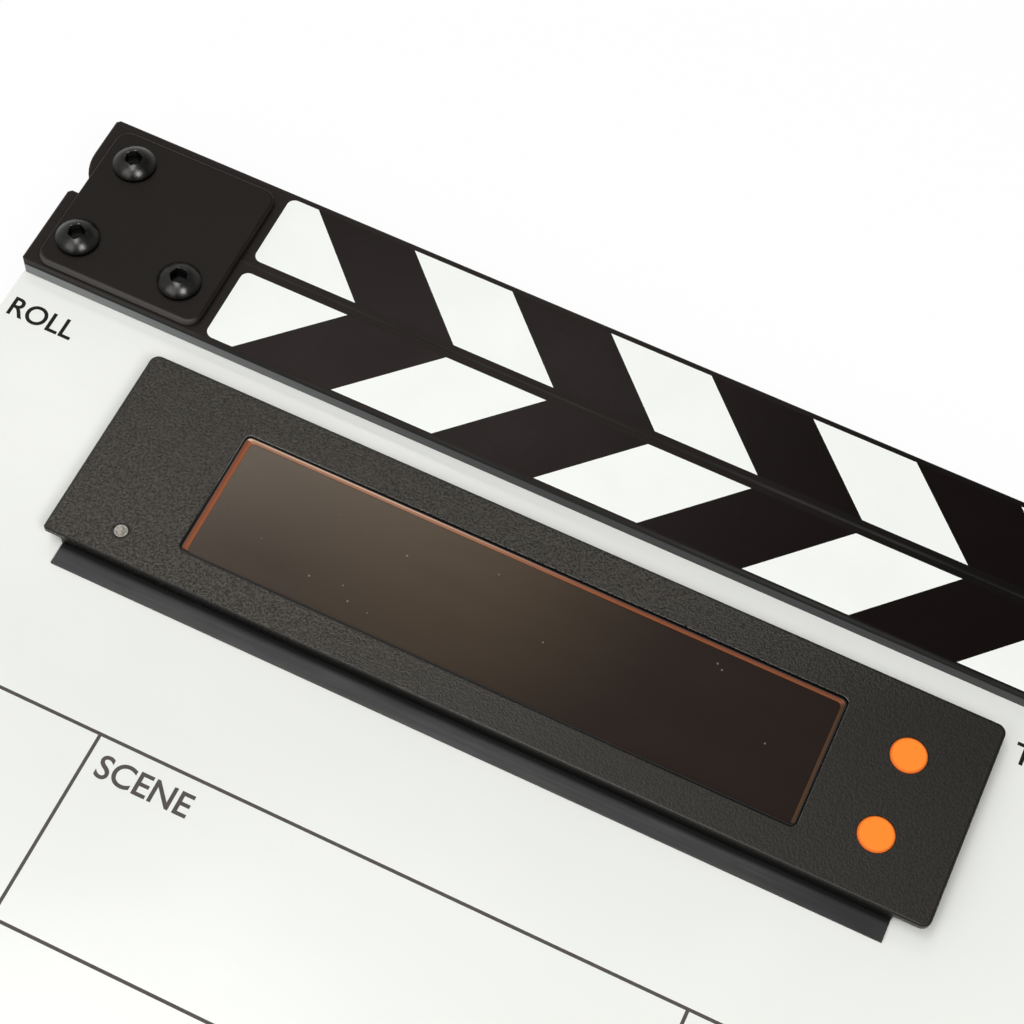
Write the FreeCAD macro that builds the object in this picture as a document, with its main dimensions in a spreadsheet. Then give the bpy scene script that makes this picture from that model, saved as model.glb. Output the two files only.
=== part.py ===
"""Clapperboard with a time display unit.

The slate lies on its back: +X along the clapsticks, +Y up the board, +Z out of the writing face.
The origin is under the middle of the closed slate, on the surface that it lies on. Millimetres.
"""
import FreeCAD, Part
import math
import os
from types import SimpleNamespace

import Sketcher
from FreeCAD import Placement, Rotation, Vector

# Driving dimensions, one named value for each size that can be set by itself.
SIZES = {
    # writing board
    "slate_length": 293.0,
    "board_drop": 198.3,
    "board_thick": 5.0,
    "board_corner": 5.0,
    "board_edge": 0.4,
    # ruled lines of the form, engraved and filled
    "line_width": 0.8,
    "line_depth": 0.3,
    "line_margin": 4.0,
    "first_line_drop": 95.4,
    "first_row": 45.4,
    "second_row": 28.0,
    "first_column": 75.3,
    "second_column": 137.9,
    # clapsticks
    "stick_height": 22.7,
    "upper_extra": 0.6,
    "stick_thick": 19.0,
    "stick_proud": 5.3,
    "stick_gap": 0.2,
    "stick_edge": 0.4,
    "stick_corner": 0.8,
    "heel_round": 12.0,
    "groove_depth": 6.2,
    "groove_play": 0.1,
    "run_gap": 0.3,
    # striped inlay of each stick
    "inlay_depth": 1.0,
    "lower_rim": 0.85,
    "upper_rim": 1.6,
    "inlay_inner": 1.9,
    "inlay_left": 48.5,
    "inlay_right": 5.0,
    "inlay_corner": 2.0,
    "stripe_pitch": 25.8,
    "stripe_start": 77.8,
    # screws that hold the board in the lower stick
    "stick_screw_radius": 1.5,
    "stick_screw_head": 2.9,
    "stick_screw_cone": 1.6,
    "stick_screw_bite": 4.0,
    "stick_screw_lift": 0.3,
    "stick_screw_left": 61.5,
    "stick_screw_pitch": 110.0,
    "stick_screw_key": 2.0,
    # hinge
    "plate_length": 42.9,
    "plate_left": 3.3,
    "plate_low": 0.7,
    "back_plate_low": 1.9,
    "plate_top": 3.2,
    "plate_corner": 3.6,
    "plate_edge": 0.8,
    "front_plate_thick": 2.0,
    "back_plate_thick": 3.0,
    "rebate_play": 0.2,
    "sweep_play": 0.6,
    "pivot_left": 11.4,
    "pivot_rise": 11.7,
    "fixing_left": 10.0,
    "fixing_right": 9.0,
    "fixing_rise": 9.9,
    "hinge_screw_radius": 3.0,
    "hinge_head_radius": 5.25,
    "hinge_head_height": 3.3,
    "hinge_head_wall": 0.8,
    "hinge_head_top": 2.9,
    "hinge_head_shoulder": 4.4,
    "hinge_shoulder_rise": 2.2,
    "hinge_key": 4.0,
    "hinge_key_depth": 2.1,
    "screw_play": 0.2,
    "thread_play": 0.05,
    "bush_wall": 1.5,
    "press_play": 0.02,
    "bush_gap": 0.05,
    # display unit: bezel and housing
    "bezel_length": 211.0,
    "bezel_height": 50.65,
    "bezel_drop": 9.15,
    "bezel_thick": 1.6,
    "bezel_rise": 6.0,
    "bezel_corner": 2.2,
    "bezel_low_corner": 0.7,
    "bezel_edge": 0.25,
    "neck_left": 4.1,
    "neck_right": 7.7,
    "neck_low": 0.4,
    "neck_top": 1.5,
    "neck_wall": 2.0,
    "neck_flare": 1.6,
    "lip_thick": 1.0,
    "lip_drop": 4.8,
    "lip_edge": 0.3,
    "tub_inset": 4.0,
    "tub_wall": 1.8,
    "tub_corner": 4.0,
    "tub_edge": 0.8,
    "cutout_play": 0.4,
    # filter window, digits and circuit board
    "window_left": 29.3,
    "window_right": 33.7,
    "window_low": 8.5,
    "window_top": 9.4,
    "window_corner": 1.5,
    "window_recess": 0.4,
    "window_play": 0.1,
    "window_flange": 2.0,
    "window_flange_thick": 1.0,
    "digit_space": 2.5,
    "digit_border": 3.5,
    "digit_gap": 0.3,
    "circuit_thick": 1.6,
    "circuit_play": 0.4,
    "under_circuit": 7.4,
    "ledge_thick": 1.6,
    "ledge_length": 20.0,
    "ledge_spread": 62.0,
    # buttons and status light
    "button_right": 17.45,
    "button_pitch": 20.0,
    "button_radius": 4.15,
    "button_play": 0.15,
    "button_proud": 0.3,
    "button_edge": 0.3,
    "button_flange": 0.9,
    "button_flange_thick": 0.8,
    "button_travel": 0.5,
    "button_stop": 0.1,
    "switch_side": 6.0,
    "plunger_side": 3.0,
    "plunger_rise": 1.2,
    "lens_left": 15.9,
    "lens_rise": 6.85,
    "lens_radius": 1.55,
    "lens_play": 0.05,
    "lens_recess": 0.15,
    "led_length": 3.0,
    "led_width": 2.0,
    "led_thick": 1.0,
    "led_gap": 0.3,
    "led_inset": 0.4,
    # screws of the housing
    "pillar_offset": 8.4,
    "pillar_radius": 2.8,
    "case_screw_radius": 1.25,
    "case_screw_head": 2.4,
    "case_screw_cone": 1.3,
    "case_screw_length": 10.0,
    "case_screw_key": 1.5,
    # parts in the housing
    "battery_side": 2.4,
    "battery_head": 1.4,
    "battery_gap": 8.0,
    "battery_round": 1.5,
    "insert_radius": 4.5,
    "insert_height": 6.4,
    "insert_bore": 2.55,
    "insert_depth": 5.8,
    "insert_boss": 2.0,
    "insert_cap": 1.0,
    "socket_gap": 2.6,
    "socket_width": 8.94,
    "socket_height": 3.2,
    "socket_length": 7.3,
    "socket_wall": 0.3,
    "socket_mouth": 5.0,
    "charge_board_thick": 1.0,
    "charge_board_length": 9.0,
    "charge_board_width": 12.0,
    "socket_play": 0.1,
    "jack_gap": 5.85,
    "jack_bore": 1.8,
    "jack_nose": 2.7,
    "jack_body": 5.4,
    "jack_length": 13.4,
    "jack_depth": 14.4,
    # spring clips behind the board
    "clip_width": 24.0,
    "clip_reach": 8.0,
    "clip_thick": 1.6,
    "clip_lift": 1.5,
    "clip_tongue": 1.0,
    "clip_tongue_width": 14.0,
    "clip_play": 0.1,
}

TOLERANCE = 1e-4
ALONG_X = Rotation(Vector(0, 1, 0), 90)
ALONG_Y = Rotation(Vector(1, 0, 0), -90)
ALONG_Z = Rotation()

doc = FreeCAD.newDocument("Clapperboard")
sheet = doc.addObject("Spreadsheet::Sheet", "Sizes")
nodes = []


class Size:
    """A dimension that carries its number and the sheet formula that it comes from."""

    def __init__(self, value, formula):
        self.value = value
        self.formula = formula

    def __float__(self):
        return float(self.value)

    def __add__(self, other):
        other = as_size(other)
        return Size(self.value + other.value, f"({self.formula} + {other.formula})")

    def __sub__(self, other):
        other = as_size(other)
        return Size(self.value - other.value, f"({self.formula} - {other.formula})")

    def __mul__(self, other):
        other = as_size(other)
        return Size(self.value * other.value, f"({self.formula} * {other.formula})")

    def __truediv__(self, other):
        other = as_size(other)
        return Size(self.value / other.value, f"({self.formula} / {other.formula})")

    def __radd__(self, other):
        return as_size(other) + self

    def __rsub__(self, other):
        return as_size(other) - self

    def __rmul__(self, other):
        return as_size(other) * self

    def __neg__(self):
        return 0 - self


def as_size(value):
    """Plain numbers join a formula as they are."""
    return value if isinstance(value, Size) else Size(float(value), f"({float(value)})")


def root(size):
    """Square root of a dimension."""
    return Size(math.sqrt(size.value), f"sqrt({size.formula})")


def fill_sheet():
    """Write every driving dimension to the sheet and return them by name."""
    sizes = {}
    for row, (name, value) in enumerate(SIZES.items(), 1):
        sheet.set(f"A{row}", name)
        sheet.set(f"B{row}", str(value))
        sheet.setAlias(f"B{row}", name)
        sizes[name] = Size(value, f"Sizes.{name}")
    doc.recompute()
    return SimpleNamespace(**sizes)


s = fill_sheet()

# Places shared by several pieces.
half_length = s.slate_length / 2
upper_height = s.stick_height + s.upper_extra
total_height = s.board_drop + s.stick_height + s.stick_gap + upper_height
board_low = -total_height / 2
stick_base = board_low + s.board_drop
lower_top = stick_base + s.stick_height
upper_low = lower_top + s.stick_gap
parting = lower_top + s.stick_gap / 2
face = s.stick_thick - s.stick_proud
board_back = face - s.board_thick
pivot = (s.pivot_left - half_length, upper_low + s.pivot_rise)
stick_screw_y = stick_base + s.groove_depth / 2 + s.stick_screw_lift
plate_x = s.plate_left - half_length
plate_high = upper_low + upper_height - s.plate_top
back_plate_low = stick_base + s.back_plate_low
bezel_left = -s.bezel_length / 2
bezel_low = stick_base - s.bezel_drop - s.bezel_height
bezel_front = face + s.bezel_rise
bezel_back = bezel_front - s.bezel_thick
lip_front = face + s.lip_thick
neck_x = (bezel_left + s.neck_left, -bezel_left - s.neck_right)
neck_y = (bezel_low + s.neck_low, bezel_low + s.bezel_height - s.neck_top)
tub_x = (neck_x[0] + s.tub_inset, neck_x[1] - s.tub_inset)
tub_y = (neck_y[0] + s.tub_inset, neck_y[1] - s.tub_inset)
window_low_corner = (bezel_left + s.window_left, bezel_low + s.window_low)
window_length = s.bezel_length - s.window_left - s.window_right
window_height = s.bezel_height - s.window_low - s.window_top
window_back = bezel_back - s.window_flange_thick
circuit_back = s.tub_wall + s.under_circuit
circuit_front = circuit_back + s.circuit_thick
button_x = -bezel_left - s.button_right
unit_middle = (tub_y[0] + tub_y[1]) / 2
button_y = (unit_middle - s.button_pitch / 2, unit_middle + s.button_pitch / 2)
lens = (bezel_left + s.lens_left, bezel_low + s.lens_rise)
button_back = bezel_back - s.button_stop - s.button_flange_thick


def bind(obj, **values):
    """Tie properties of an object to the sheet."""
    for name, value in values.items():
        obj.setExpression(name, as_size(value).formula)


def place(obj, x, y, z):
    """Tie an object's place to the sheet."""
    for axis, value in zip("xyz", (x, y, z)):
        obj.setExpression(f"Placement.Base.{axis}", as_size(value).formula)


def node(label, obj):
    """Name an object as a finished sub-part."""
    obj.Label = label
    nodes.append(obj)
    return obj


def box(name, low, size):
    """A block from its low corner."""
    obj = doc.addObject("Part::Box", name)
    bind(obj, Length=size[0], Width=size[1], Height=size[2])
    place(obj, *low)
    return obj


def rod(name, start, radius, length, turn=ALONG_Z):
    """A cylinder from the centre of its first end."""
    obj = doc.addObject("Part::Cylinder", name)
    obj.Placement = Placement(Vector(), turn)
    bind(obj, Radius=radius, Height=length)
    place(obj, *start)
    return obj


def hexagon(name, start, across, length, turn=ALONG_Z):
    """A hexagon prism for a key, by its width across the flats."""
    obj = doc.addObject("Part::Prism", name)
    obj.Placement = Placement(Vector(), turn)
    obj.Polygon = 6
    bind(obj, Circumradius=across / math.sqrt(3), Height=length)
    place(obj, *start)
    return obj


def group(name, pieces):
    """Several solids in one object."""
    obj = doc.addObject("Part::Compound", name)
    obj.Links = pieces
    return obj


def fuse(name, pieces):
    """One solid from pieces that touch."""
    obj = doc.addObject("Part::MultiFuse", name)
    obj.Shapes = pieces
    obj.Refine = True
    return obj


def cut(name, base, tools):
    """Take tools away from a base."""
    obj = doc.addObject("Part::Cut", name)
    obj.Base = base
    obj.Tool = tools[0] if len(tools) == 1 else fuse(f"{name}_tools", tools)
    return obj


def common(name, base, tool):
    """What a base and a tool share."""
    obj = doc.addObject("Part::Common", name)
    obj.Base = base
    obj.Tool = tool
    return obj


def edge_names(shape, test):
    """Names of the edges of a shape that pass a test."""
    return [f"Edge{number}" for number, edge in enumerate(shape.Edges, 1) if test(edge)]


def upright_at(x, y):
    """A test for the upright edge at a place in plan."""
    def test(edge):
        ends = [vertex.Point for vertex in edge.Vertexes]
        return all(abs(p.x - float(x)) + abs(p.y - float(y)) < TOLERANCE for p in ends)
    return test


def level_at(z):
    """A test for the edges that lie at one height."""
    def test(edge):
        return all(abs(vertex.Z - float(z)) < TOLERANCE for vertex in edge.Vertexes)
    return test


def dress(owner, kind, test, **values):
    """Add a fillet or a chamfer to the edges of a body that pass a test."""
    doc.recompute()
    base = owner.Tip
    feature = owner.newObject(f"PartDesign::{kind}", f"{owner.Name}_{kind}")
    feature.Base = (base, edge_names(base.Shape, test))
    bind(feature, **values)
    return feature


def flat_sketch(owner, name, z):
    """An empty sketch parallel to the face, at a height in its body."""
    drawing = owner.newObject("Sketcher::SketchObject", name)
    plane = next(item for item in owner.Origin.OriginFeatures if item.Role == "XY_Plane")
    drawing.AttachmentSupport = [(plane, "")]
    drawing.MapMode = "FlatFace"
    bind(drawing, **{"AttachmentOffset.Base.z": z})
    return drawing


def constrain(drawing, value, *terms):
    """Add a dimension that the sheet drives."""
    index = drawing.addConstraint(Sketcher.Constraint(*terms, float(value)))
    bind(drawing, **{f"Constraints[{index}]": value})


def draw_rectangle(drawing, low, size):
    """Draw a rectangle from its low corner."""
    x, y = (float(value) for value in low)
    width, height = (float(value) for value in size)
    corners = [Vector(x, y), Vector(x + width, y), Vector(x + width, y + height), Vector(x, y + height)]
    sides = [Part.LineSegment(corners[n], corners[(n + 1) % 4]) for n in range(4)]
    first, second, third, fourth = drawing.addGeometry(sides, False)
    for one, other in ((first, second), (second, third), (third, fourth), (fourth, first)):
        drawing.addConstraint(Sketcher.Constraint("Coincident", one, 2, other, 1))
    for side in (first, third):
        drawing.addConstraint(Sketcher.Constraint("Horizontal", side))
    for side in (second, fourth):
        drawing.addConstraint(Sketcher.Constraint("Vertical", side))
    constrain(drawing, low[0], "DistanceX", -1, 1, first, 1)
    constrain(drawing, low[1], "DistanceY", -1, 1, first, 1)
    constrain(drawing, size[0], "DistanceX", first, 1, first, 2)
    constrain(drawing, size[1], "DistanceY", second, 1, second, 2)


def draw_circle(drawing, centre, radius):
    """Draw a circle."""
    middle = Vector(float(centre[0]), float(centre[1]))
    circle = drawing.addGeometry(Part.Circle(middle, Vector(0, 0, 1), float(radius)), False)
    constrain(drawing, centre[0], "DistanceX", -1, 1, circle, 3)
    constrain(drawing, centre[1], "DistanceY", -1, 1, circle, 3)
    constrain(drawing, radius, "Radius", circle)


def slab(name, low, size, corner=None, front_edge=None, back_edge=None):
    """A plate from its low corner, with round corners and broken edges where they are given."""
    body = doc.addObject("PartDesign::Body", name)
    drawing = flat_sketch(body, f"{name}_outline", 0)
    draw_rectangle(drawing, (0, 0), size[:2])
    pad = body.newObject("PartDesign::Pad", f"{name}_pad")
    pad.Profile = drawing
    bind(pad, Length=size[2])
    place(body, *low)
    if corner is not None:
        plan = [upright_at(x, y) for x in (0, size[0]) for y in (0, size[1])]
        dress(body, "Fillet", lambda edge: any(test(edge) for test in plan), Radius=corner)
    if front_edge is not None:
        dress(body, "Chamfer", level_at(size[2]), Size=front_edge)
    if back_edge is not None:
        dress(body, "Chamfer", level_at(0), Size=back_edge)
    return body


def turned(name, where, profile):
    """A solid turned about an upright axis, from its profile of radii and heights."""
    body = doc.addObject("PartDesign::Body", name)
    drawing = body.newObject("Sketcher::SketchObject", f"{name}_profile")
    plane = next(item for item in body.Origin.OriginFeatures if item.Role == "XZ_Plane")
    drawing.AttachmentSupport = [(plane, "")]
    drawing.MapMode = "FlatFace"
    points = [Vector(float(radius), float(height)) for radius, height in profile]
    lines = drawing.addGeometry(
        [Part.LineSegment(point, points[(n + 1) % len(points)]) for n, point in enumerate(points)], False)
    for n, (radius, height) in enumerate(profile):
        drawing.addConstraint(Sketcher.Constraint("Coincident", lines[n - 1], 2, lines[n], 1))
        for value, kind, axis in ((radius, "DistanceX", -2), (height, "DistanceY", -1)):
            if isinstance(value, Size):
                constrain(drawing, value, kind, -1, 1, lines[n], 1)
            else:
                drawing.addConstraint(Sketcher.Constraint("PointOnObject", lines[n], 1, axis))
    turn = body.newObject("PartDesign::Revolution", f"{name}_turn")
    turn.Profile = drawing
    turn.ReferenceAxis = (drawing, ["V_Axis"])
    turn.Angle = 360
    place(body, *where)
    return body


def flat_screw(name, where, head, cone, radius, length):
    """Flat-headed screw, or the hole for one, set flush in a back face."""
    return turned(name, where, [(0, 0), (head, 0), (radius, cone), (radius, length), (0, length)])


def pocket(body, name, z, depth, shapes):
    """Cut drawn shapes into a body, down from a height."""
    doc.recompute()
    before = body.Shape.Volume
    drawing = flat_sketch(body, f"{name}_drawing", z)
    for draw, where, size in shapes:
        draw(drawing, where, size)
    feature = body.newObject("PartDesign::Pocket", name)
    feature.Profile = drawing
    bind(feature, Length=depth)
    doc.recompute()
    if not body.Shape.Volume < before:
        raise RuntimeError(f"{name} cuts nothing")
    return feature


def span(low, high):
    """Length between two places."""
    return high - low


def make_grid_lines():
    """Ruled lines of the form: three across the board, and the columns of two rows."""
    first = stick_base - s.first_line_drop
    second = first - s.first_row
    third = second - s.second_row
    left = s.line_margin - half_length
    length = s.slate_length - 2 * s.line_margin
    low = board_low + s.line_margin
    base = face - s.line_depth
    half = s.line_width / 2
    bars = [
        box(f"across_{number}", (left, y - half, base), (length, s.line_width, s.line_depth))
        for number, y in enumerate((first, second, third))
    ]
    columns = (s.first_column - half_length, s.first_column + s.second_column - half_length)
    bars += [
        box(f"column_{number}", (x - half, second, base), (s.line_width, s.first_row, s.line_depth))
        for number, x in enumerate(columns)
    ]
    bars.append(box("middle_column", (-half, low, base), (s.line_width, third - low, s.line_depth)))
    return node("grid_lines", fuse("grid_lines", bars))


def stick_screw_places():
    """Places along the lower stick of the screws that hold the board."""
    count = int((float(s.slate_length) - float(s.stick_screw_left)) / float(s.stick_screw_pitch)) + 1
    return [s.stick_screw_left + n * s.stick_screw_pitch - half_length for n in range(count)]


def make_board(lines):
    """White writing board, let into the lower stick and cut out for the display unit."""
    height = s.board_drop + s.groove_depth - s.groove_play
    size = (s.slate_length, height, s.board_thick)
    body = slab("board_blank", (-half_length, board_low, board_back), size)
    plan = [upright_at(x, 0) for x in (0, s.slate_length)]
    dress(body, "Fillet", lambda edge: any(test(edge) for test in plan), Radius=s.board_corner)
    dress(body, "Chamfer", level_at(s.board_thick), Size=s.board_edge)
    opening = slab(
        "board_opening",
        (tub_x[0] - s.cutout_play, tub_y[0] - s.cutout_play, board_back),
        (span(*tub_x) + 2 * s.cutout_play, span(*tub_y) + 2 * s.cutout_play, s.board_thick),
        corner=s.tub_corner + s.cutout_play,
    )
    holes = [
        rod(f"board_hole_{n}", (x, stick_screw_y, board_back), s.stick_screw_radius + s.thread_play,
            s.stick_screw_bite + s.thread_play)
        for n, x in enumerate(stick_screw_places())
    ]
    return node("slate_board", cut("slate_board", body, [opening, lines] + holes))


def make_inlay(name, low_y, rim, stick_height, front, stripe_side):
    """Striped panel of one stick: black bars, and the white between them.

    The bars lean at 45 degrees and meet the other stick's bars at the parting line.
    """
    length = s.slate_length - s.inlay_left - s.inlay_right
    inlay_height = stick_height - rim - s.inlay_inner
    back = front - s.inlay_depth
    panel = slab(
        f"{name}_panel",
        (s.inlay_left - half_length, low_y, back),
        (length, inlay_height, s.inlay_depth),
        corner=s.inlay_corner,
    )
    near = (low_y - parting) * stripe_side
    far = (low_y + inlay_height - parting) * stripe_side
    count = int((float(s.slate_length) - float(s.stripe_start)) / (2 * float(s.stripe_pitch))) + 2
    bars = []
    for n in range(count):
        start = s.stripe_start + 2 * n * s.stripe_pitch - half_length
        bar = doc.addObject("Part::Wedge", f"{name}_bar_{n}")
        bind(
            bar,
            Xmin=start - near, Xmax=start - near + s.stripe_pitch,
            X2min=start - far, X2max=start - far + s.stripe_pitch,
            Ymin=low_y, Ymax=low_y + inlay_height,
            Zmin=back, Zmax=front, Z2min=back, Z2max=front,
        )
        bars.append(bar)
    black = group(f"{name}_bars", bars)
    node(f"{name}_black_stripes", common(f"{name}_black_stripes", panel, black))
    node(f"{name}_white_stripes", cut(f"{name}_white_stripes", panel, [black]))
    return panel


def fixing_places():
    """Places of the two hinge screws that hold both plates to the lower stick."""
    y = stick_base + s.fixing_rise
    left = s.fixing_left - half_length
    right = plate_x + s.plate_length - s.fixing_right
    return [(left, y), (right, y)]


def bevel_corners(body, corners, size):
    """Bevel the upright edges of a body at places in plan."""
    plan = [upright_at(x, y) for x, y in corners]
    dress(body, "Chamfer", lambda edge: any(test(edge) for test in plan), Size=size)


def make_lower_stick():
    """Lower stick, grooved for the board and let in at the back for the hinge plate."""
    size = (s.slate_length, s.stick_height, s.stick_thick)
    body = slab("lower_blank", (-half_length, stick_base, 0), size)
    bevel_corners(body, [(x, y) for x in (0, size[0]) for y in (0, size[1])], s.stick_corner)
    dress(body, "Chamfer", level_at(size[2]), Size=s.stick_edge)
    dress(body, "Chamfer", level_at(0), Size=s.stick_edge)
    low_y = stick_base + s.lower_rim
    panel = make_inlay("lower", low_y, s.lower_rim, s.stick_height, s.stick_thick, -1)
    groove = box(
        "board_groove",
        (-half_length, stick_base, board_back - s.groove_play),
        (s.slate_length, s.groove_depth, s.board_thick + 2 * s.groove_play),
    )
    rebate = slab(
        "plate_rebate",
        (plate_x - s.rebate_play, back_plate_low - s.rebate_play, 0),
        (s.plate_length + 2 * s.rebate_play, plate_high - back_plate_low, s.back_plate_thick),
        corner=s.plate_corner,
    )
    bores = [
        rod(f"fixing_bore_{n}", (x, y, 0), s.hinge_screw_radius + s.screw_play, s.stick_thick)
        for n, (x, y) in enumerate(fixing_places())
    ]
    bores += stick_screw_bodies("stick_bore", s.thread_play, board_back)
    node("lower_stick", cut("lower_stick", body, [groove, rebate, panel] + bores))


def stick_screw_bodies(name, play, length):
    """Screws, or their holes, along the back of the lower stick."""
    return [
        flat_screw(f"{name}_{n}", (x, stick_screw_y, 0), s.stick_screw_head + play, s.stick_screw_cone,
                   s.stick_screw_radius + play, length)
        for n, x in enumerate(stick_screw_places())
    ]


def make_stick_screws():
    """Row of screws through the lower stick into the board's top edge."""
    blanks = stick_screw_bodies("stick_screw_blank", 0, board_back + s.stick_screw_bite)
    screws = []
    for n, (x, blank) in enumerate(zip(stick_screw_places(), blanks)):
        key = hexagon(f"stick_key_{n}", (x, stick_screw_y, 0), s.stick_screw_key, s.stick_screw_cone)
        screws.append(cut(f"stick_screw_{n}", blank, [key]))
    node("stick_screws", group("stick_screws", screws))


def make_upper_stick():
    """Upper stick: round heel under the pivot, thinner than the lower one so that it swings freely."""
    back = s.run_gap
    front = s.stick_thick - s.run_gap
    size = (s.slate_length, upper_height, front - back)
    body = slab("upper_blank", (-half_length, upper_low, back), size)
    dress(body, "Fillet", upright_at(0, 0), Radius=s.heel_round)
    bevel_corners(body, [(0, size[1]), (size[0], 0), (size[0], size[1])], s.stick_corner)
    dress(body, "Chamfer", level_at(size[2]), Size=s.stick_edge)
    dress(body, "Chamfer", level_at(0), Size=s.stick_edge)
    panel = make_inlay("upper", upper_low + s.inlay_inner, s.upper_rim, upper_height, front, 1)
    across = plate_x + s.plate_length - pivot[0]
    above = plate_high - pivot[1]
    reach = root(across * across + above * above) + s.sweep_play
    sweep = box(
        "plate_sweep",
        (-half_length, upper_low, back),
        (pivot[0] + reach + half_length, upper_height, s.back_plate_thick),
    )
    bush = s.hinge_screw_radius + s.thread_play + s.bush_wall + s.press_play
    bore = rod("pivot_bore", (*pivot, back), bush, front - back)
    node("upper_stick", cut("upper_stick", body, [sweep, panel, bore]))


def make_pivot_bush():
    """Bush in the upper stick, just shorter than the space between the hinge plates."""
    inner = s.hinge_screw_radius + s.thread_play
    outer = inner + s.bush_wall
    low = s.back_plate_thick + s.bush_gap
    length = s.stick_thick - s.bush_gap - low
    profile = [(inner, 0), (outer, 0), (outer, length), (inner, length)]
    node("pivot_bush", turned("pivot_bush", (*pivot, low), profile))


def make_hinge_plate(label, low_y, z, thick, bore, front_edge):
    """Square plate over both sticks, drilled for the pivot and the two fixing screws."""
    size = (s.plate_length, plate_high - low_y, thick)
    body = slab(label, (plate_x, low_y, z), size, corner=s.plate_corner)
    holes = [(draw_circle, (x - plate_x, y - low_y), bore) for x, y in [pivot] + fixing_places()]
    pocket(body, f"{label}_holes", thick, thick, holes)
    if front_edge is not None:
        ring = level_at(thick)
        dress(body, "Chamfer", lambda edge: ring(edge) and len(edge.Vertexes) == 2, Size=front_edge)
    node(label, body)


def hinge_screw(name, where):
    """Button-headed screw from the front plate into the tapped back plate."""
    seat = s.stick_thick + s.front_plate_thick
    top = seat + s.hinge_head_height
    blank = turned(f"{name}_blank", (*where, 0), [
        (0, 0),
        (s.hinge_screw_radius, 0),
        (s.hinge_screw_radius, seat),
        (s.hinge_head_radius, seat),
        (s.hinge_head_radius, seat + s.hinge_head_wall),
        (s.hinge_head_shoulder, seat + s.hinge_shoulder_rise),
        (s.hinge_head_top, top),
        (0, top),
    ])
    key = hexagon(f"{name}_key", (*where, top - s.hinge_key_depth), s.hinge_key, s.hinge_key_depth)
    return cut(name, blank, [key])


def make_hinge():
    """Two plates, two fixing screws and the pivot screw."""
    clear = s.hinge_screw_radius + s.screw_play
    tapped = s.hinge_screw_radius + s.thread_play
    front_plate_low = stick_base + s.plate_low
    make_hinge_plate("hinge_front_plate", front_plate_low, s.stick_thick, s.front_plate_thick, clear,
                     s.plate_edge)
    make_hinge_plate("hinge_back_plate", back_plate_low, as_size(0), s.back_plate_thick, tapped, None)
    screws = [hinge_screw(f"hinge_screw_{n}", where) for n, where in enumerate(fixing_places())]
    node("hinge_screws", group("hinge_screws", screws))
    node("pivot_screw", hinge_screw("pivot_screw", pivot))


def pillar_places():
    """Places of the housing's screws, either side of the window."""
    left = window_low_corner[0] - s.pillar_offset
    right = window_low_corner[0] + window_length + s.pillar_offset
    middle = window_low_corner[1] + window_height / 2
    return [(left, middle), (right, middle)]


def make_flare(name, x, low_x):
    """Hollow curve where one end of the neck meets the underside of the bezel."""
    flare = s.neck_flare
    length = span(*neck_y)
    block = box(f"{name}_block", (low_x, neck_y[0], bezel_back - flare), (flare, length, flare))
    hollow = rod(f"{name}_hollow", (x, neck_y[0], bezel_back - flare), flare, length, ALONG_Y)
    return cut(name, block, [hollow])


def make_bezel():
    """Moulded front of the display unit: plate, neck behind it and screw pillars."""
    size = (s.bezel_length, s.bezel_height, s.bezel_thick)
    plate = slab("bezel_plate", (bezel_left, bezel_low, bezel_back), size)
    dress(plate, "Fillet", upright_at(0, 0), Radius=s.bezel_low_corner)
    plan = [upright_at(0, size[1]), upright_at(size[0], 0), upright_at(size[0], size[1])]
    dress(plate, "Fillet", lambda edge: any(test(edge) for test in plan), Radius=s.bezel_corner)
    dress(plate, "Chamfer", level_at(size[2]), Size=s.bezel_edge)
    holes = [
        (draw_circle, (button_x - bezel_left, y - bezel_low), s.button_radius + s.button_play)
        for y in button_y
    ]
    holes.append((draw_circle, (s.lens_left, s.lens_rise), s.lens_radius + s.lens_play))
    pocket(plate, "bezel_holes", size[2], size[2], holes)
    window = slab(
        "window_opening",
        (*window_low_corner, bezel_back),
        (window_length, window_height, s.bezel_thick),
        corner=s.window_corner,
    )
    neck_height = bezel_back - lip_front
    neck = slab(
        "neck_outside",
        (neck_x[0], neck_y[0], lip_front),
        (span(*neck_x), span(*neck_y), neck_height),
    )
    hollow = box(
        "neck_inside",
        (neck_x[0] + s.neck_wall, neck_y[0] + s.neck_wall, lip_front),
        (span(*neck_x) - 2 * s.neck_wall, span(*neck_y) - 2 * s.neck_wall, neck_height),
    )
    flares = [
        make_flare("left_flare", neck_x[0] - s.neck_flare, neck_x[0] - s.neck_flare),
        make_flare("right_flare", neck_x[1] + s.neck_flare, neck_x[1]),
    ]
    pillars = [
        rod(f"pillar_{n}", (*where, s.tub_wall), s.pillar_radius, bezel_back - s.tub_wall)
        for n, where in enumerate(pillar_places())
    ]
    pilots = [
        rod(f"pilot_{n}", (*where, 0), s.case_screw_radius + s.thread_play,
            s.case_screw_length + s.thread_play)
        for n, where in enumerate(pillar_places())
    ]
    ring = cut("neck_ring", neck, [hollow])
    solid = fuse("bezel_solid", [plate, ring] + flares + pillars)
    node("front_bezel", cut("front_bezel", solid, [window] + pilots))


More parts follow.
